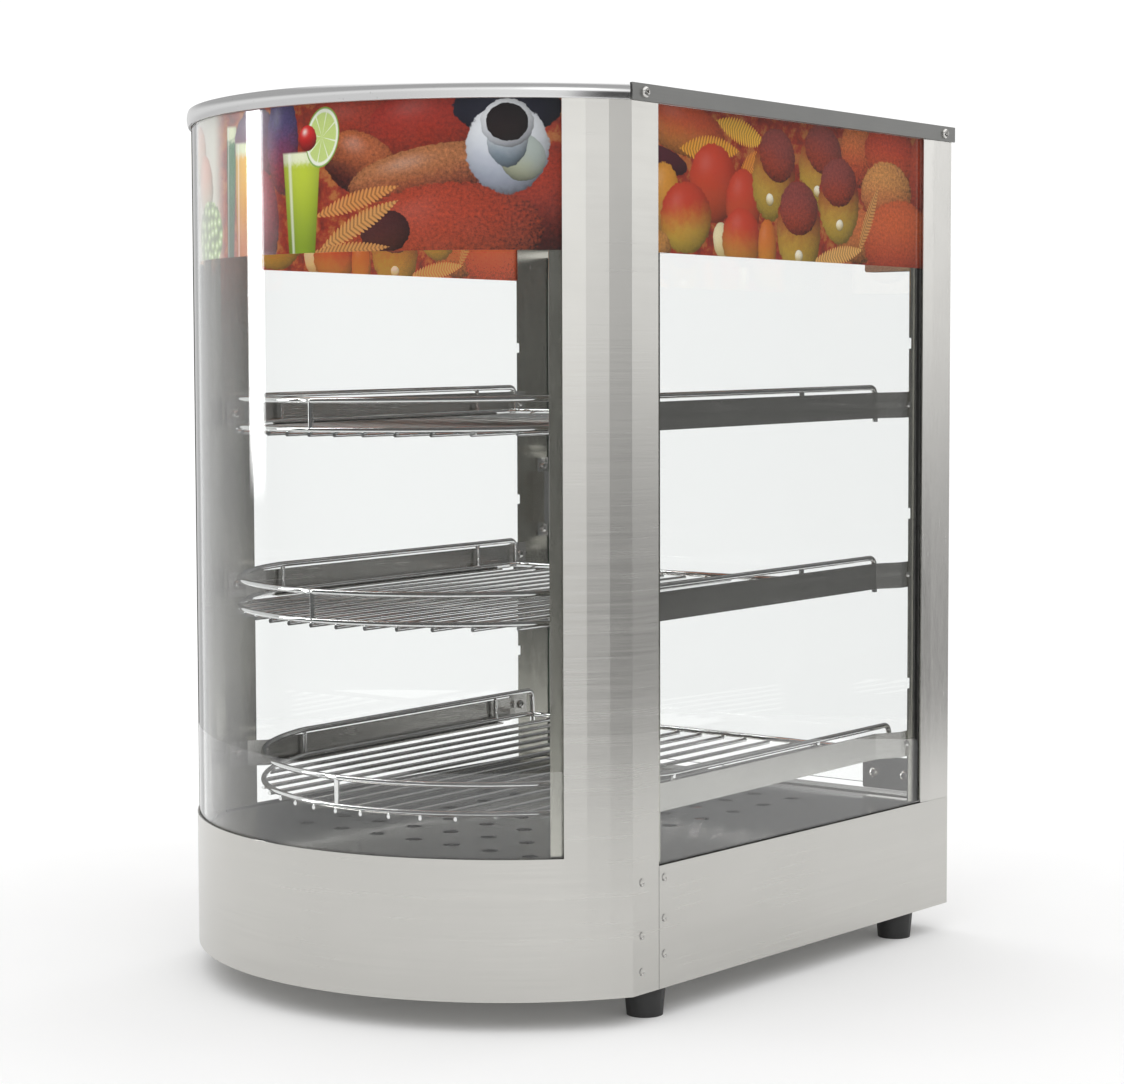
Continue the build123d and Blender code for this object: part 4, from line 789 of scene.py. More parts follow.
SIDE_ART: tuple[Drawn, ...] = (
    loaf(56, 82, 46, 18, -8, 0.4, (0.56, 0.07, 0.012), (0.62, 0.20, 0.03), 0.05),
    loaf(12, 86, 8, 14, 0, 0.0, (0.80, 0.66, 0.46), ROLL_AMBER, 0.0),
    Drawn("ear", (84, 70), (34, 10), 2, ((0.74, 0.32, 0.02),)),
    Drawn("ear", (120, 84), (30, 9), -12, ((0.76, 0.40, 0.03),)),
    Drawn("ear", (132, 62), (20, 9), 34, ((0.72, 0.24, 0.02),)),
    loaf(30, 60, 30, 9, -8, 0.1, PLUM, PLUM, 0.0),
    loaf(14, 44, 18, 20, 0, 0.1, (0.30, 0.02, 0.02), PLUM, 0.0),
    loaf(30, 34, 20, 26, -20, 0.2, ROLL_AMBER, (0.66, 0.34, 0.08), 0.1),
    loaf(88, 48, 27, 27, 0, 0.1, ROLL_RED, (0.60, 0.07, 0.010), 0.05),
    loaf(122, 36, 20, 24, 0, 0.1, ROLL_RED, (0.60, 0.08, 0.012), 0.05),
    loaf(58, 24, 28, 24, 6, 0.1, ROLL_RED, GLAZE_YELLOW, 0.05),
    loaf(98, 10, 10, 13, 20, 0.0, (0.86, 0.74, 0.44), (0.84, 0.62, 0.26), 0.0),
    loaf(120, 12, 22, 22, -8, 0.1, ROLL_RED, (0.72, 0.30, 0.03), 0.05),
    loaf(150, 8, 11, 20, 0, 0.1, (0.66, 0.16, 0.012), ROLL_AMBER, 0.05),
    loaf(20, 4, 22, 12, 0, 0.6, (0.70, 0.30, 0.06), WHEAT, 0.0),
    loaf(262, 80, 22, 26, 0, 0.9, (0.60, 0.15, 0.03), (0.56, 0.06, 0.012), 0.0),
    loaf(306, 80, 36, 22, -8, 0.8, (0.52, 0.045, 0.010), (0.58, 0.08, 0.016), 0.0),
    loaf(350, 64, 20, 38, 0, 0.8, (0.42, 0.05, 0.015), (0.30, 0.03, 0.010), 0.0),
    loaf(300, 52, 34, 24, 0, 1.0, (0.60, 0.25, 0.06), (0.50, 0.09, 0.02), 0.0),
    loaf(262, 20, 30, 20, 0, 0.9, (0.58, 0.14, 0.03), CRUST_GOLD, 0.0),
    loaf(318, 16, 48, 33, 0, 0.8, (0.58, 0.10, 0.02), (0.46, 0.045, 0.012), 0.0),
    Drawn("ear", (276, 32), (28, 6), 62, (WHEAT,)),
    Drawn("ear", (236, 5), (34, 7), 10, ((0.72, 0.38, 0.10),)),
    *glazed_bun(215, 66, 27, 31, -14),
    *glazed_bun(158, 58, 25, 33, -16),
    *glazed_bun(238, 44, 26, 31, 3),
    *glazed_bun(188, 22, 27, 34, 0),
)


@dataclass(frozen=True)
class PrintedBand:
    """Full-colour bakery artwork printed on film, seen through the glass in front of it."""

    name: str
    band: Band
    bottom: float
    axis_y: float = 0.0
    radius: float = 0.0
    start_y: float = 0.0
    pale_end: tuple[float, float] = (-92.0, -70.0)
    paper: Colour = (0.72, 0.70, 0.60)

    def _coordinates(self, g: Graph) -> tuple[Socket, Socket]:
        """Find the place on the band.

        Args:
            g: the material's graph.

        Returns:
            The place in millimetres, and how far the face looks outwards.
        """
        x, y, z = g.split(g.place())
        up = g.math("MULTIPLY", g.math("SUBTRACT", z, self.bottom), 1.0 / MM)
        normal = g.node("ShaderNodeNewGeometry").outputs["Normal"]
        if self.band is Band.FRONT:
            ahead = g.math("SUBTRACT", self.axis_y, y)
            turn = g.math("ARCTAN2", x, ahead)
            along = g.math("MULTIPLY", turn, self.radius / MM)
            outward = g.vector("NORMALIZE", g.join(x, g.math("MULTIPLY", ahead, -1.0), 0.0))
        else:
            sign = 1.0 if self.band is Band.RIGHT else -1.0
            along = g.math("MULTIPLY", g.math("SUBTRACT", y, self.start_y), 1.0 / MM)
            outward = g.join(sign, 0.0, 0.0)
        return g.join(along, up, 0.0), g.vector("DOT_PRODUCT", normal, outward)

    def _paint(self, g: Graph, place: Socket) -> Socket:
        """Lay the artwork down from back to front.

        Args:
            g: the material's graph.
            place: the place on the band in millimetres.

        Returns:
            The artwork's colour.
        """
        groups = effects()
        mottled = g.noise(place, 0.09, 5.0, 0.65)
        colour = g.ramp(mottled, ((0.3, CRUST_DARK), (0.5, CRUST_RED), (0.62, CRUST_GOLD), (0.8, CRUST_RED)))
        if self.band is Band.FRONT:
            along, _, _ = g.split(place)
            colour = g.mix(g.span(along, *self.pale_end), self.paper, colour)
        for thing in FRONT_ART if self.band is Band.FRONT else SIDE_ART:
            extra: dict[str, object] = dict(zip(PAINTS[thing.kind], (*thing.colours, *thing.numbers)))
            drawn = g.group(
                getattr(groups, thing.kind), Place=place, Centre=(*thing.centre, 0.0),
                Size=(*thing.size, 1.0), Turn=math.radians(thing.turn), **extra,
            )
            colour = g.mix(drawn.outputs["Mask"], colour, drawn.outputs["Colour"])
        return colour

    def build(self) -> bpy.types.Material:
        """Make the material; the back of the film shows the artwork paler.

        Returns:
            The material.
        """
        material, g, shader, _ = new_material(self.name)
        place, facing = self._coordinates(g)
        art = self._paint(g, place)
        dots = g.math("MULTIPLY_ADD", g.noise(place, 3.2, 2.0, 0.5), 0.24, 0.88)
        printed = g.shade(art, g.grey(dots))
        pale = g.mix(0.16, g.shade(printed, (2.6, 2.2, 1.9)), (0.85, 0.50, 0.30))
        g.feed(shader.inputs["Base Color"], g.mix(g.span(facing, -0.3, 0.3), pale, printed))
        g.feed(shader.inputs["Roughness"], g.span(g.noise(place, 0.05), 0.3, 0.7, 0.28, 0.36))
        return material


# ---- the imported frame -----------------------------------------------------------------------


class Frame:
    """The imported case: its nodes, its bodies and where they are."""

    def __init__(self) -> None:
        """Load the model and keep its box as the CAD gives it."""
        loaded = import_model()
        self.nodes: dict[str, bpy.types.Object] = loaded["nodes"]
        self.record: dict = loaded["record"]
        self.cad_bounds = as_lists(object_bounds())

    def low(self, node: str) -> Vector:
        """A node's lowest corner, in metres."""
        return Vector(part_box(node)[0])

    def high(self, node: str) -> Vector:
        """A node's highest corner, in metres."""
        return Vector(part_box(node)[1])

    def middle(self, node: str) -> Vector:
        """The middle of a node's box, in metres."""
        return (self.low(node) + self.high(node)) / 2

    def dress(self, material: bpy.types.Material, *names: str) -> None:
        """Give nodes a finish.

        Args:
            material: the finish.
            names: the nodes that get it.
        """
        for name in names:
            for slot in self.nodes[name].material_slots:
                slot.material = material
            LOG.info("%s is finished in %s", name, material.name)

    def solids(self, node: str) -> list[list[Vector]]:
        """The corners of each separate solid in a node.

        Args:
            node: the node's name.

        Returns:
            One list of corners for each solid.
        """
        mesh = bmesh.new()
        mesh.from_mesh(self.nodes[node].data)
        bmesh.ops.remove_doubles(mesh, verts=mesh.verts, dist=1e-6)
        found, seen = [], set()
        for start in mesh.verts:
            if start.index in seen:
                continue
            todo, island = [start], []
            seen.add(start.index)
            while todo:
                corner = todo.pop()
                island.append(corner.co.copy())
                for edge in corner.link_edges:
                    other = edge.other_vert(corner)
                    if other.index not in seen:
                        seen.add(other.index)
                        todo.append(other)
            found.append(island)
        mesh.free()
        return found


def as_lists(bounds: object) -> list[list[float]]:
    """A box as plain lists of numbers."""
    return [[float(v) for v in corner] for corner in bounds]


def new_object(name: str, mesh: bpy.types.Mesh) -> bpy.types.Object:
    """Put a mesh in the scene as an object at the origin.

    Args:
        name: the object's name.
        mesh: its mesh.

    Returns:
        The object.
    """
    made = bpy.data.objects.new(name, mesh)
    bpy.context.scene.collection.objects.link(made)
    return made


def mesh_from(name: str, builder: bmesh.types.BMesh, smooth: bool = True) -> bpy.types.Mesh:
    """A mesh from a bmesh, with outward faces.

    Args:
        name: the mesh's name.
        builder: the bmesh, which is freed.
        smooth: whether its faces are shaded smooth.

    Returns:
        The mesh.
    """
    bmesh.ops.recalc_face_normals(builder, faces=builder.faces)
    mesh = bpy.data.meshes.new(name)
    builder.to_mesh(mesh)
    builder.free()
    for face in mesh.polygons:
        face.use_smooth = smooth
    return mesh


def settle(name: str, worked: bpy.types.Object) -> bpy.types.Object:
    """Turn an object and its live modifiers into a plain mesh object.

    Args:
        name: the new object's name.
        worked: the object, which is removed.

    Returns:
        The new object.
    """
    bpy.context.view_layer.update()
    graph = bpy.context.evaluated_depsgraph_get()
    mesh = bpy.data.meshes.new_from_object(worked.evaluated_get(graph))
    bpy.data.objects.remove(worked)
    mesh.name = name
    return new_object(name, mesh)


@dataclass(frozen=True)
class Spot:
    """Where a copy goes, the way that its +Z faces and how far it is stretched along its own axes."""

    place: Vector
    facing: Vector
    stretch: Point = (1.0, 1.0, 1.0)


class Scatter:
    """A Geometry Nodes tree that puts copies of one shape on points, each faced and stretched."""

    def __init__(self, name: str) -> None:
        """Build the tree."""
        self.tree = bpy.data.node_groups.new(name, "GeometryNodeTree")
        face = self.tree.interface
        face.new_socket("Geometry", in_out="OUTPUT", socket_type="NodeSocketGeometry")
        kinds = {
            "Points": "Geometry", "Shape": "Object", "Finish": "Material",
            "Uneven": "Float", "Twist": "Float", "Seed": "Int",
        }
        self.sockets = {
            label: face.new_socket(label, in_out="INPUT", socket_type=f"NodeSocket{kind}").identifier
            for label, kind in kinds.items()
        }
        g = Graph(self.tree)
        given = g.node("NodeGroupInput").outputs
        aim = g.node("FunctionNodeAlignRotationToVector", axis="Z")
        g.feed(aim.inputs["Vector"], self._carried(g, "facing"))
        twist = g.node("FunctionNodeRandomValue", data_type="FLOAT")
        g.feed(twist.inputs[3], given["Twist"])
        g.feed(twist.inputs["Seed"], given["Seed"])
        turn = g.filled(g.node("FunctionNodeEulerToRotation"), g.join(0.0, 0.0, twist.outputs[1]))
        spin = g.node("FunctionNodeRotateRotation", rotation_space="LOCAL")
        g.feed(spin.inputs["Rotation"], aim.outputs[0])
        g.feed(spin.inputs["Rotate By"], turn.outputs[0])
        spread = g.node("FunctionNodeRandomValue", data_type="FLOAT")
        g.feed(spread.inputs[2], g.math("SUBTRACT", 1.0, given["Uneven"]))
        g.feed(spread.inputs[3], g.math("ADD", 1.0, given["Uneven"]))
        g.feed(spread.inputs["Seed"], given["Seed"])
        scale = g.vector("MULTIPLY", self._carried(g, "stretch"), g.grey(spread.outputs[1]))
        shape = g.node("GeometryNodeObjectInfo")
        g.feed(shape.inputs["Object"], given["Shape"])
        shape.inputs["As Instance"].default_value = True
        copies = g.node("GeometryNodeInstanceOnPoints")
        for label, value in (
            ("Points", given["Points"]), ("Instance", shape.outputs["Geometry"]),
            ("Rotation", spin.outputs[0]), ("Scale", scale),
        ):
            g.feed(copies.inputs[label], value)
        real = g.filled(g.node("GeometryNodeRealizeInstances"), copies.outputs[0])
        finish = g.node("GeometryNodeSetMaterial")
        g.feed(finish.inputs["Geometry"], real.outputs[0])
        g.feed(finish.inputs["Material"], given["Finish"])
        g.filled(g.node("NodeGroupOutput"), finish.outputs[0])

    @staticmethod
    def _carried(g: Graph, label: str) -> Socket:
        """A vector that every point carries."""
        carried = g.node("GeometryNodeInputNamedAttribute", data_type="FLOAT_VECTOR")
        carried.inputs["Name"].default_value = label
        return carried.outputs["Attribute"]

    def place(
        self, name: str, points: list[Spot], shape: bpy.types.Object, finish: bpy.types.Material,
        uneven: float = 0.0, twist: float = 0.0, seed: int = 1,
    ) -> bpy.types.Object:
        """Put copies of a shape on points and make them one mesh.

        Args:
            name: the new piece's name.
            points: where each copy goes.
            shape: the object that is copied; it is removed afterwards.
            finish: the copies' material.
            uneven: how much the copies differ in size.
            twist: the most that a copy turns about the way it faces, in radians.
            seed: fixes the differences.

        Returns:
            The piece.
        """
        mesh = bpy.data.meshes.new(name)
        mesh.from_pydata([spot.place for spot in points], [], [])
        for label in ("facing", "stretch"):
            carried = mesh.attributes.new(label, "FLOAT_VECTOR", "POINT")
            for item, spot in zip(carried.data, points):
                item.vector = getattr(spot, label)
        base = new_object(f"{name}_points", mesh)
        live = base.modifiers.new("scatter", "NODES")
        live.node_group = self.tree
        values = {"Shape": shape, "Finish": finish, "Uneven": uneven, "Twist": twist, "Seed": seed}
        for label, value in values.items():
            live[self.sockets[label]] = value
        made = settle(name, base)
        bpy.data.objects.remove(shape)
        LOG.info("%s has %d copies", name, len(points))
        return made


# ---- sub-assemblies ---------------------------------------------------------------------------


LEVELS = ("bottom", "middle", "top")
STRIPS = tuple(f"rack_strip_{level}_{side}" for level in LEVELS for side in ("left", "right"))

PLAIN_FINISHES: tuple[tuple[BrushedSteel | PolishedSteel | ClearGlass | Moulded, tuple[str, ...]], ...] = (
    (
        BrushedSteel("upright_steel", Grain.UPRIGHT, (0.60, 0.59, 0.565), 0.24, 0.22, 0.02),
        ("rear_post_left", "rear_post_right", "rear_header"),
    ),
    # The inner posts are the upright stainless made darker: this darkness is painted shade for the inside of
    # the case.
    (
        BrushedSteel("shaded_inner_steel", Grain.UPRIGHT, (0.46, 0.45, 0.40), 0.20, 0.10, 0.05),
        ("rear_inner_post_left", "rear_inner_post_right", "front_post_left", "front_post_right"),
    ),
    (
        BrushedSteel("rail_steel", Grain.LEVEL, (0.27, 0.27, 0.262), 0.38, 0.12, 0.02),
        ("top_rail_left", "top_rail_right"),
    ),
    (BrushedSteel("ledge_steel", Grain.LEVEL, (0.52, 0.51, 0.485), 0.22, 0.08, 0.04), STRIPS),
    (BrushedSteel("cover_sheet", Grain.CROSSWAYS, (0.66, 0.66, 0.65), 0.34, 0.06), ("top_cover",)),
    (PolishedSteel("deck_mirror", (0.60, 0.585, 0.56), 0.09, 0.10), ("deck",)),
    (PolishedSteel("trim_mirror", (0.72, 0.72, 0.72), 0.08), ("top_trim",)),
    (PolishedSteel("rack_chrome", (0.78, 0.78, 0.775), 0.04), ("rack_bottom", "rack_middle", "rack_top")),
    (
        PolishedSteel("fitting_chrome", (0.66, 0.655, 0.64), 0.12, 0.05),
        (
            "door_handle", "catch_body", "hinge_clamp_lower", "hinge_clamp_upper", "hinge_pins",
            "door_strike",
            "lamp_holder",
        ),
    ),
    (PolishedSteel("screw_plating", (0.62, 0.61, 0.59), 0.18), ("thermostat_shaft",)),
    (ClearGlass("side_pane_glass", Pane.SIDE), ("side_glass_left", "side_glass_right")),
    (ClearGlass("door_pane_glass", Pane.DOOR), ("door_glass",)),
    (ClearGlass("curved_pane_glass", Pane.CURVED), ("front_glass",)),
    (Moulded("foot_rubber", (0.018, 0.018, 0.018), 0.55), ("feet",)),
    (Moulded("gasket_rubber", (0.022, 0.020, 0.019), 0.6), ("glass_gaskets",)),
    (
        Moulded("black_moulding", (0.020, 0.020, 0.021), 0.38, 2400.0, 0.15),
        ("thermostat_knob", "switch_housings", "cable_gland"),
    ),
    (Moulded("rocker_moulding", (0.30, 0.015, 0.012), 0.30, 2400.0, 0.10), ("power_rocker", "light_rocker")),
    (
        Moulded("white_nylon", (0.62, 0.60, 0.54), 0.42, 1500.0, 0.12),
        ("hinge_bushes", "terminal_block", "thermostat_body"),
    ),
    (Moulded("ferrite", (0.055, 0.055, 0.058), 0.5, 3000.0, 0.3), ("catch_magnet",)),
    (Moulded("pilot_lens", (0.60, 0.10, 0.02), 0.12, 900.0, 0.05, 0.25), ("pilot_lamp",)),
    (Moulded("lamp_glass", (0.85, 0.84, 0.80), 0.18, 700.0, 0.03, 0.4), ("lamp_tube",)),
    (
        BrushedSteel("heater_sheath", Grain.LEVEL, (0.19, 0.165, 0.15), 0.48, 0.2, 0.2),
        ("heater_element", "heater_clips"),
    ),
    (Moulded("dial_ink", (0.72, 0.72, 0.70), 0.5, 2000.0, 0.05), ()),
)


@dataclass
class Finishes:
    """Every finish on the case, each built once and put on its nodes."""

    frame: Frame
    weld_setback: float = 5.5 * MM
    flange_welds: float = 18.5 * MM
    panel_weld_heights: tuple[float, ...] = (0.094, 0.067, 0.043)
    flange_weld_heights: tuple[float, ...] = (0.094, 0.059, 0.035)
    print_radius: float = 232.0 * MM
    arc_axis_y: float = -30.66 * MM

    def __post_init__(self) -> None:
        """Build the materials and dress the nodes."""
        self.made: dict[str, bpy.types.Material] = {}
        frame = self.frame
        seam = frame.low("side_panel_right").y
        panel_spots = tuple((seam + self.weld_setback, z) for z in self.panel_weld_heights)
        flange_spots = tuple((seam - self.flange_welds, z) for z in self.flange_weld_heights)
        spots = panel_spots + flange_spots
        bottom = frame.low("print_front").z
        fitted = [
            (
                BrushedSteel("base_steel", Grain.LEVEL, (0.55, 0.542, 0.515), 0.24, 0.05, 0.02, spots),
                ("front_shell", "side_panel_left", "side_panel_right", "rear_control_panel", "bottom_plate"),
            ),
            (
                PrintedBand(
                    "front_artwork", Band.FRONT, bottom, axis_y=self.arc_axis_y, radius=self.print_radius
                ),
                ("print_front",),
            ),
        ]
        for band in (Band.RIGHT, Band.LEFT):
            node = f"print_{band.value}"
            art = PrintedBand(f"{band.value}_artwork", band, bottom, start_y=frame.low(node).y)
            fitted.append((art, (node,)))
        for finish, nodes in (*PLAIN_FINISHES, *fitted):
            self.made[finish.name] = finish.build()
            frame.dress(self.made[finish.name], *nodes)


@dataclass(frozen=True)
class ScrewSize:
    """Radius and height of a screw's head, radius and length of its shank."""

    head: float
    rise: float
    shank: float
    length: float


@dataclass
class Fasteners:
    """Pan-head screws with cross recesses, in the places where the frame has its screws."""

    frame: Frame
    finish: bpy.types.Material
    scatter: Scatter
    sets: tuple[tuple[str, str], ...] = (
        ("rail_screws", "cabinet"), ("post_screws", "cabinet"), ("foot_screws", "cabinet"),
        ("door_screws", "door"),
    )
    head_outline: Stops = (
        (0.0, 1.0), (0.35, 0.985), (0.62, 0.93), (0.82, 0.78), (0.94, 0.52), (1.0, 0.16), (0.985, 0.0),
    )
    threads: int = 5
    root: float = 0.86
    tip: float = 0.8
    turns: int = 28
    recess_width: float = 0.30
    recess_reach: float = 0.58
    recess_foot: float = 0.45
    recess_depth: float = 0.75
    recess_clear: float = 0.2
    sharp_angle: float = math.radians(38)
    first_seed: int = 3

    def _shape(self, size: ScrewSize) -> bpy.types.Object:
        """Turn one screw, its seat at the origin and its head up +Z.

        Args:
            size: the screw's sizes.

        Returns:
            The screw.
        """
        outline = [(r * size.head, z * size.rise) for r, z in self.head_outline] + [(size.shank, 0.0)]
        pitch = size.length / self.threads
        for k in range(self.threads):
            crest = -(k + 0.38) * pitch
            outline += [(size.shank, crest), (self.root * size.shank, crest - 0.32 * pitch)]
        outline += [(self.tip * size.shank, -0.97 * size.length), (0.0, -size.length)]
        body = bmesh.new()
        ring = [body.verts.new((r, 0.0, z)) for r, z in outline]
        lines = [body.edges.new(pair) for pair in zip(ring, ring[1:])]
        bmesh.ops.spin(
            body, geom=ring + lines, axis=(0, 0, 1), cent=(0, 0, 0), steps=self.turns, angle=2 * math.pi
        )
        bmesh.ops.remove_doubles(body, verts=body.verts, dist=1e-6)
        screw = new_object("screw_shape", mesh_from("screw_shape", body))
        cutter = self._driver(size)
        cut = screw.modifiers.new("recess", "BOOLEAN")
        cut.object, cut.operation, cut.solver = cutter, "DIFFERENCE", "EXACT"
        cut.use_self = True
        finished = settle("screw_shape_cut", screw)
        bpy.data.objects.remove(cutter)
        mark_sharp(finished.data, self.sharp_angle)
        return finished

    def _driver(self, size: ScrewSize) -> bpy.types.Object:
        """The tip of a cross driver, which leaves the recess: two crossed blades, shorter at the foot.

        Args:
            size: the screw's sizes.

        Returns:
            The driver.
        """
        blades = bmesh.new()
        for crossed in (False, True):
            for corner in bmesh.ops.create_cube(blades, size=1.0)["verts"]:
                x, y, z = corner.co
                wide, long = (y, x) if crossed else (x, y)
                wide *= self.recess_width * size.head
                long *= 2 * self.recess_reach * size.head * (1.0 if z > 0 else self.recess_foot)
                height = size.rise * (1.0 + self.recess_clear if z > 0 else 1.0 - self.recess_depth)
                corner.co = (long, wide, height) if crossed else (wide, long, height)
        return new_object("screw_driver_shape", mesh_from("screw_driver_shape", blades, False))

    @staticmethod
    def _measured(corners: list[Vector]) -> tuple[Spot, ScrewSize]:
        """Read one of the frame's screws.

        Args:
            corners: the corners of its solid.

        Returns:
            Where it sits and faces, and its sizes.
        """
        low = Vector([min(corner[k] for corner in corners) for k in range(3)])
        high = Vector([max(corner[k] for corner in corners) for k in range(3)])
        extent, middle = high - low, (high + low) / 2
        axis = min(range(3), key=lambda k: abs(extent[(k + 1) % 3] - extent[(k + 2) % 3]))
        beside = (axis + 1) % 3
        ends = []
        for end, way in ((low[axis], -1.0), (high[axis], 1.0)):
            near = [corner for corner in corners if abs(corner[axis] - end) < 0.30 * extent[axis]]
            ends.append((max((corner - middle)[beside] for corner in near), way, end))
        head, way, end = max(ends)
        facing = Vector([way if k == axis else 0.0 for k in range(3)])
        reach = []
        for corner in corners:
            along = (corner - middle).dot(facing)
            reach.append((along, (corner - middle - facing * along).length))
        seat = min(along for along, out in reach if out > 0.9 * head)
        shank = max(out for along, out in reach if along < seat - 1e-5)
        rise = abs(end - (middle + facing * seat)[axis])
        return Spot(middle + facing * seat, facing), ScrewSize(head, rise, shank, extent[axis] - rise)

    def build(self) -> None:
        """Make each set of screws in place of its node."""
        for seed, (node, body) in enumerate(self.sets, self.first_seed):
            measured = [self._measured(corners) for corners in self.frame.solids(node)]
            spots = [spot for spot, _ in measured]
            shape = self._shape(measured[-1][1])
            piece = self.scatter.place(
                f"{node}_pan_heads", spots, shape, self.finish, twist=math.pi / 2, seed=seed
            )
            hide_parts(node)
            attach(piece, body)


def mark_sharp(mesh: bpy.types.Mesh, angle: float) -> None:
    """Smooth a mesh but keep its corners sharp.

    Args:
        mesh: the mesh.
        angle: corners above this angle stay sharp, in radians.
    """
    work = bmesh.new()
    work.from_mesh(mesh)
    for edge in work.edges:
        edge.smooth = len(edge.link_faces) == 2 and edge.calc_face_angle(0.0) < angle
    for face in work.faces:
        face.smooth = True
    work.to_mesh(mesh)
    work.free()


@dataclass
class RackWelds:
    """Resistance welds where a rack's floor wires meet its lower rim."""

    frame: Frame
    finish: bpy.types.Material
    scatter: Scatter
    level: str
    pitch: float = 22.0 * MM
    wires: int = 15
    rim_wire: float = 4.0 * MM
    rim_spacing: float = 19.5 * MM
    tilt: float = math.radians(1.0)
    arc: float = 181.0 * MM
    nugget: float = 1.5 * MM
    nugget_shape: Point = (1.25, 1.0, 0.7)
    seat: float = 0.42
    uneven: float = 0.18
    twist: float = 0.4

    def _nugget(self) -> bpy.types.Object:
        """A small flattened bead.

        Returns:
            The object.
        """
        bead = bmesh.new()
        bmesh.ops.create_icosphere(bead, subdivisions=2, radius=self.nugget)
        bmesh.ops.scale(bead, vec=self.nugget_shape, verts=bead.verts)
        return new_object("weld_bead_shape", mesh_from("weld_bead_shape", bead))

    def build(self) -> None:
        """Put a bead at both ends of every floor wire."""
        node = f"rack_{self.level}"
        low, high = self.frame.low(node), self.frame.high(node)
        front, rear = low.y + self.rim_wire / 2, high.y - self.rim_wire / 2
        rim_rear = high.z - (self.rim_wire / 2 + self.rim_spacing)
        spots = []
        for k in range(self.wires):
            x = (k - (self.wires - 1) / 2) * self.pitch
            ahead = front + self.arc - math.sqrt(self.arc**2 - x**2)
            for y in (ahead, rear - self.rim_wire):
                z = rim_rear - (rear - y) * math.tan(self.tilt) - self.rim_wire * self.seat
                spots.append(Spot(Vector((x, y, z)), Vector((0.0, 0.0, -1.0))))
        piece = self.scatter.place(
            f"{node}_welds", spots, self._nugget(), self.finish, self.uneven, self.twist, len(self.level)
        )
        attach(piece, f"{self.level}_rack")


@dataclass
class DialMarks:
    """Printed ticks round the thermostat knob, every ninth one long."""

    frame: Frame
    finish: bpy.types.Material
    scatter: Scatter
    ticks: int = 28
    long_every: int = 9
    short: float = 0.55
    sweep: float = math.radians(270)
    gap: float = 3.0 * MM
    tick: Point = (0.7 * MM, 0.06 * MM, 2.6 * MM)

    def _tick(self) -> bpy.types.Object:
        """One long ink line, upright, its back to +Y.

        Returns:
            The object.
        """
        line = bmesh.new()
        bmesh.ops.create_cube(line, size=1.0)
        bmesh.ops.scale(line, vec=self.tick, verts=line.verts)
        return new_object("tick_shape", mesh_from("tick_shape", line, False))

    def build(self) -> None:
        """Make the ticks on the rear panel."""
        centre = self.frame.middle("thermostat_knob")
        centre.y = self.frame.high("rear_control_panel").y + self.tick[1] / 2
        reach = self.frame.high("thermostat_knob").x - centre.x + self.gap
        spots = []
        for k in range(self.ticks):
            turn = self.sweep * (k / (self.ticks - 1) - 0.5)
            out = Vector((-math.sin(turn), 0.0, math.cos(turn)))
            long = 1.0 if k % self.long_every == 0 else self.short
            spots.append(Spot(centre + out * (reach + self.tick[2] * long / 2), out, (1.0, 1.0, long)))
        piece = self.scatter.place("thermostat_scale", spots, self._tick(), self.finish)
        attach(piece, "cabinet")


# ---- studio -------------------------------------------------------------------------------------


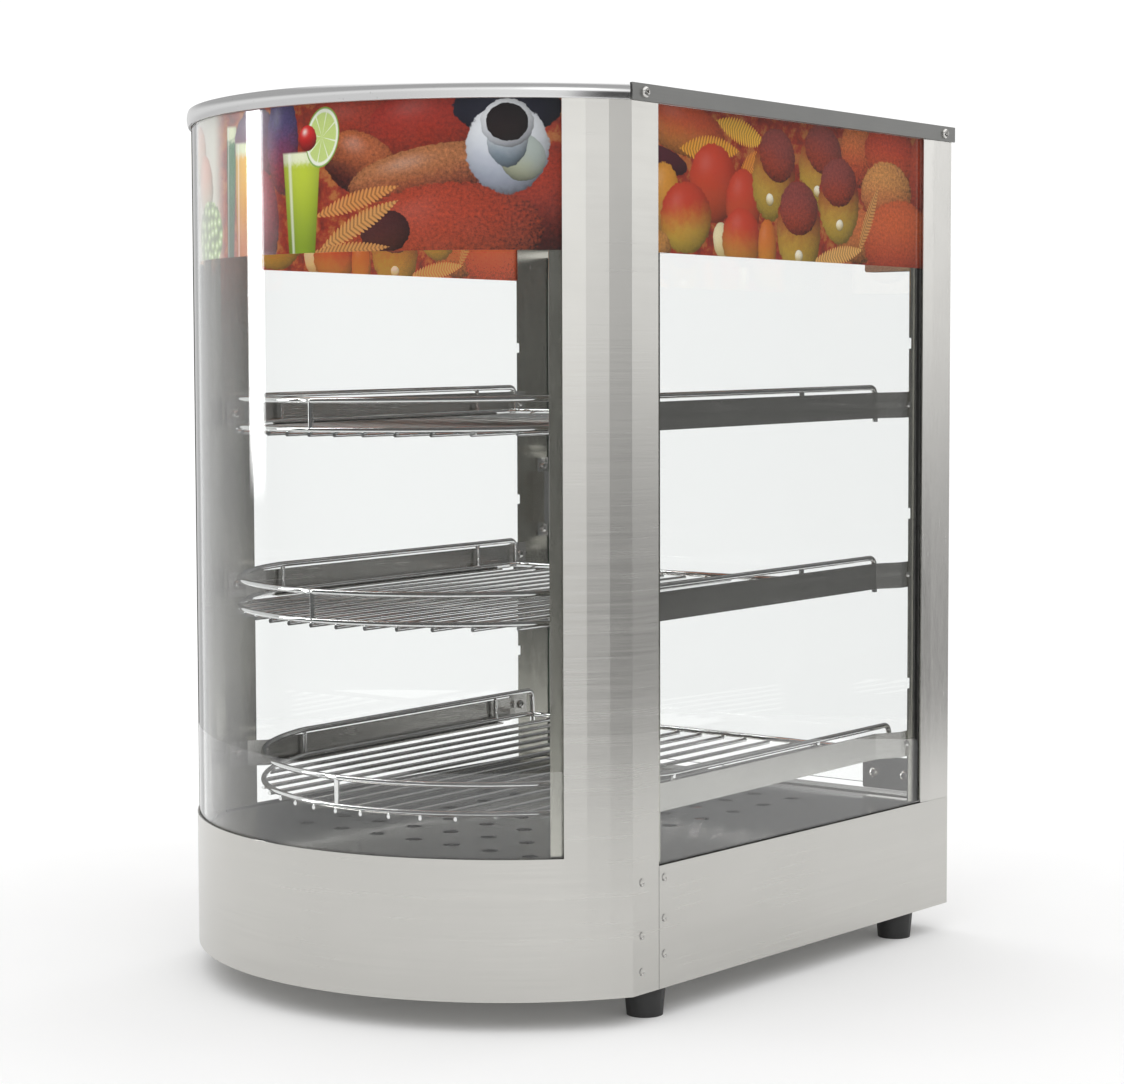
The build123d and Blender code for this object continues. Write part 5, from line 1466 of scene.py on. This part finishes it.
@dataclass
class Studio:
    """The pale floor, the surrounding light and the camera.

    The light is told by bearing, in degrees from straight ahead of the glass towards the case's right,
    and by height, as the sine of the elevation.
    """

    floor_radius: float = 1.35
    floor_glow: float = 0.06
    eye: Point = (1.2268, -1.4456, 0.4215)
    azimuth: float = 38.72
    dip: float = 3.664
    roll: float = -0.107
    lens: float = 82.5
    sensor: float = 36.0
    shift: tuple[float, float] = (-0.049, 0.0017)
    above: Stops = (
        (-180, 0.6), (-150, 0.5), (-143, 0.05), (-137, 0.05), (-131, 0.75), (-60, 0.9), (0, 0.95), (40, 1.2),
        (54, 1.9), (66, 1.9), (76, 1.25), (84, 0.5), (128, 0.35), (136, 1.7), (148, 1.7), (154, 0.7),
        (180, 0.6),
    )
    below: Stops = (
        (-180, 0.45), (-150, 0.4), (-143, 0.1), (-137, 0.1), (-131, 0.6), (-60, 0.75), (0, 0.8), (40, 0.95),
        (58, 0.92), (64, 0.40), (70, 0.12), (90, 0.05), (128, 0.08), (141, 0.30), (152, 0.45), (180, 0.4),
    )
    mirrored: Stops = (
        (-180, 0.3), (-150, 0.1), (-128, 0.02), (-124, 0.9), (-75, 0.9), (-54, 0.10), (57, 0.12),
        (100, 0.15), (141, 0.1), (180, 0.3),
    )
    horizon: tuple[float, float] = (-0.09, 0.07)
    overhead: tuple[Point, ...] = ((0.12, 0.26, 0.5), (0.48, 0.62, 1.5), (0.93, 0.98, 1.0))
    window: Point = (-62.3, 4.6, 14.0)
    window_edge: float = 1.2
    window_sill: tuple[float, float] = (-0.05, -0.01)
    backdrop: float = 1.08

    def floor(self) -> None:
        """A pale floor under the case."""
        sheet = bmesh.new()
        bmesh.ops.create_circle(sheet, cap_ends=True, radius=self.floor_radius, segments=96)
        piece = new_object("studio_floor", mesh_from("studio_floor", sheet, False))
        material, g, shader, _ = new_material("floor_paint")
        cloud = g.noise(g.place(), 3.0, 2.0, 0.5)
        tone = g.span(cloud, 0.3, 0.7, 0.87, 0.89)
        g.feed(shader.inputs["Base Color"], g.grey(tone))
        shader.inputs["Roughness"].default_value = 0.9
        shader.inputs["Specular IOR Level"].default_value = 0.0
        shader.inputs["Emission Color"].default_value = (1.0, 1.0, 0.99, 1.0)
        shader.inputs["Emission Strength"].default_value = self.floor_glow
        piece.data.materials.append(material)
        piece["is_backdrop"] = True

    @staticmethod
    def _ring(g: Graph, share: Socket, stops: Stops) -> Socket:
        """Brightness read along the bearings.

        Args:
            g: the world's graph.
            share: the bearing as a share of a full turn, from straight behind.
            stops: bearings and their brightness.

        Returns:
            The brightness.
        """
        scale = max(level for _, level in stops)
        line = tuple(((bearing + 180.0) / 360.0, (level / scale,) * 3) for bearing, level in stops)
        return g.math("MULTIPLY", g.ramp(share, line), scale)

    @staticmethod
    def _between(g: Graph, share: Socket, low: object, high: object) -> Socket:
        """A number between two others.

        Args:
            g: the world's graph.
            share: 0 for the low number, 1 for the high one.
            low: the one number.
            high: the other number.

        Returns:
            The number.
        """
        return g.math("MULTIPLY_ADD", g.math("SUBTRACT", high, low), share, low)

    def surroundings(self) -> None:
        """A white room for what is looked at directly; soft panels for what is mirrored or lit."""
        world = bpy.data.worlds.new("studio_light")
        bpy.context.scene.world = world
        world.use_nodes = True
        world.node_tree.nodes.clear()
        g = Graph(world.node_tree)
        x, y, z = g.split(g.node("ShaderNodeTexCoord").outputs["Generated"])
        bearing = g.math("MULTIPLY", g.math("ARCTAN2", x, g.math("MULTIPLY", y, -1.0)), 180.0 / math.pi)
        share = g.math("MULTIPLY_ADD", bearing, 1.0 / 360.0, 0.5)
        above, below, mirrored = (
            self._ring(g, share, stops) for stops in (self.above, self.below, self.mirrored)
        )
        level = self._between(g, g.span(z, *self.horizon), below, above)
        for low, high, bright in self.overhead:
            level = self._between(g, g.span(z, low, high), level, bright)
        middle, half, strength = self.window
        off = g.math("ABSOLUTE", g.math("SUBTRACT", bearing, middle))
        pane = g.math("MULTIPLY", g.span(off, half, half - self.window_edge), g.span(z, *self.window_sill))
        mirrored = g.math("MULTIPLY_ADD", pane, strength, mirrored)
        path = g.node("ShaderNodeLightPath").outputs
        sharp = g.math("MULTIPLY", path["Is Singular Ray"], path["Is Glossy Ray"])
        level = self._between(g, sharp, level, mirrored)
        first = g.math("LESS_THAN", g.math("ADD", path["Glossy Depth"], path["Diffuse Depth"]), 0.5)
        through = g.math("MULTIPLY", path["Is Transmission Ray"], first)
        seen = g.math("MAXIMUM", path["Is Camera Ray"], through)
        background = g.node("ShaderNodeBackground")
        g.feed(background.inputs["Color"], g.mix(seen, g.grey(level), (self.backdrop,) * 3))
        g.filled(g.node("ShaderNodeOutputWorld"), background.outputs[0])

    def camera(self) -> None:
        """The camera, a little above the middle of the case, in front and to its right."""
        data = bpy.data.cameras.new("view")
        data.lens, data.sensor_width = self.lens, self.sensor
        data.shift_x, data.shift_y = self.shift
        data.clip_start, data.clip_end = 0.05, 50.0
        camera = bpy.data.objects.new("view", data)
        camera.location = self.eye
        aim = Euler((math.radians(90.0 - self.dip), 0.0, math.radians(self.azimuth))).to_matrix()
        camera.rotation_euler = (aim @ Matrix.Rotation(math.radians(self.roll), 3, "Z")).to_euler()
        bpy.context.scene.collection.objects.link(camera)
        bpy.context.scene.camera = camera

    def build(self) -> None:
        """Set everything up, and show tones as they are."""
        self.floor()
        self.surroundings()
        self.camera()
        bpy.context.scene.view_settings.view_transform = "Standard"
        LOG.info("the studio is set up")


def main() -> None:
    """Build the looks of the case piece by piece."""
    logging.basicConfig(level=logging.INFO, format="%(message)s")
    frame = Frame()
    finishes = Finishes(frame).made
    scatter = Scatter("facing_copies")
    Fasteners(frame, finishes["screw_plating"], scatter).build()
    for level in LEVELS:
        RackWelds(frame, finishes["rack_chrome"], scatter, level).build()
    DialMarks(frame, finishes["dial_ink"], scatter).build()
    Studio().build()


if __name__ == "__main__":
    main()
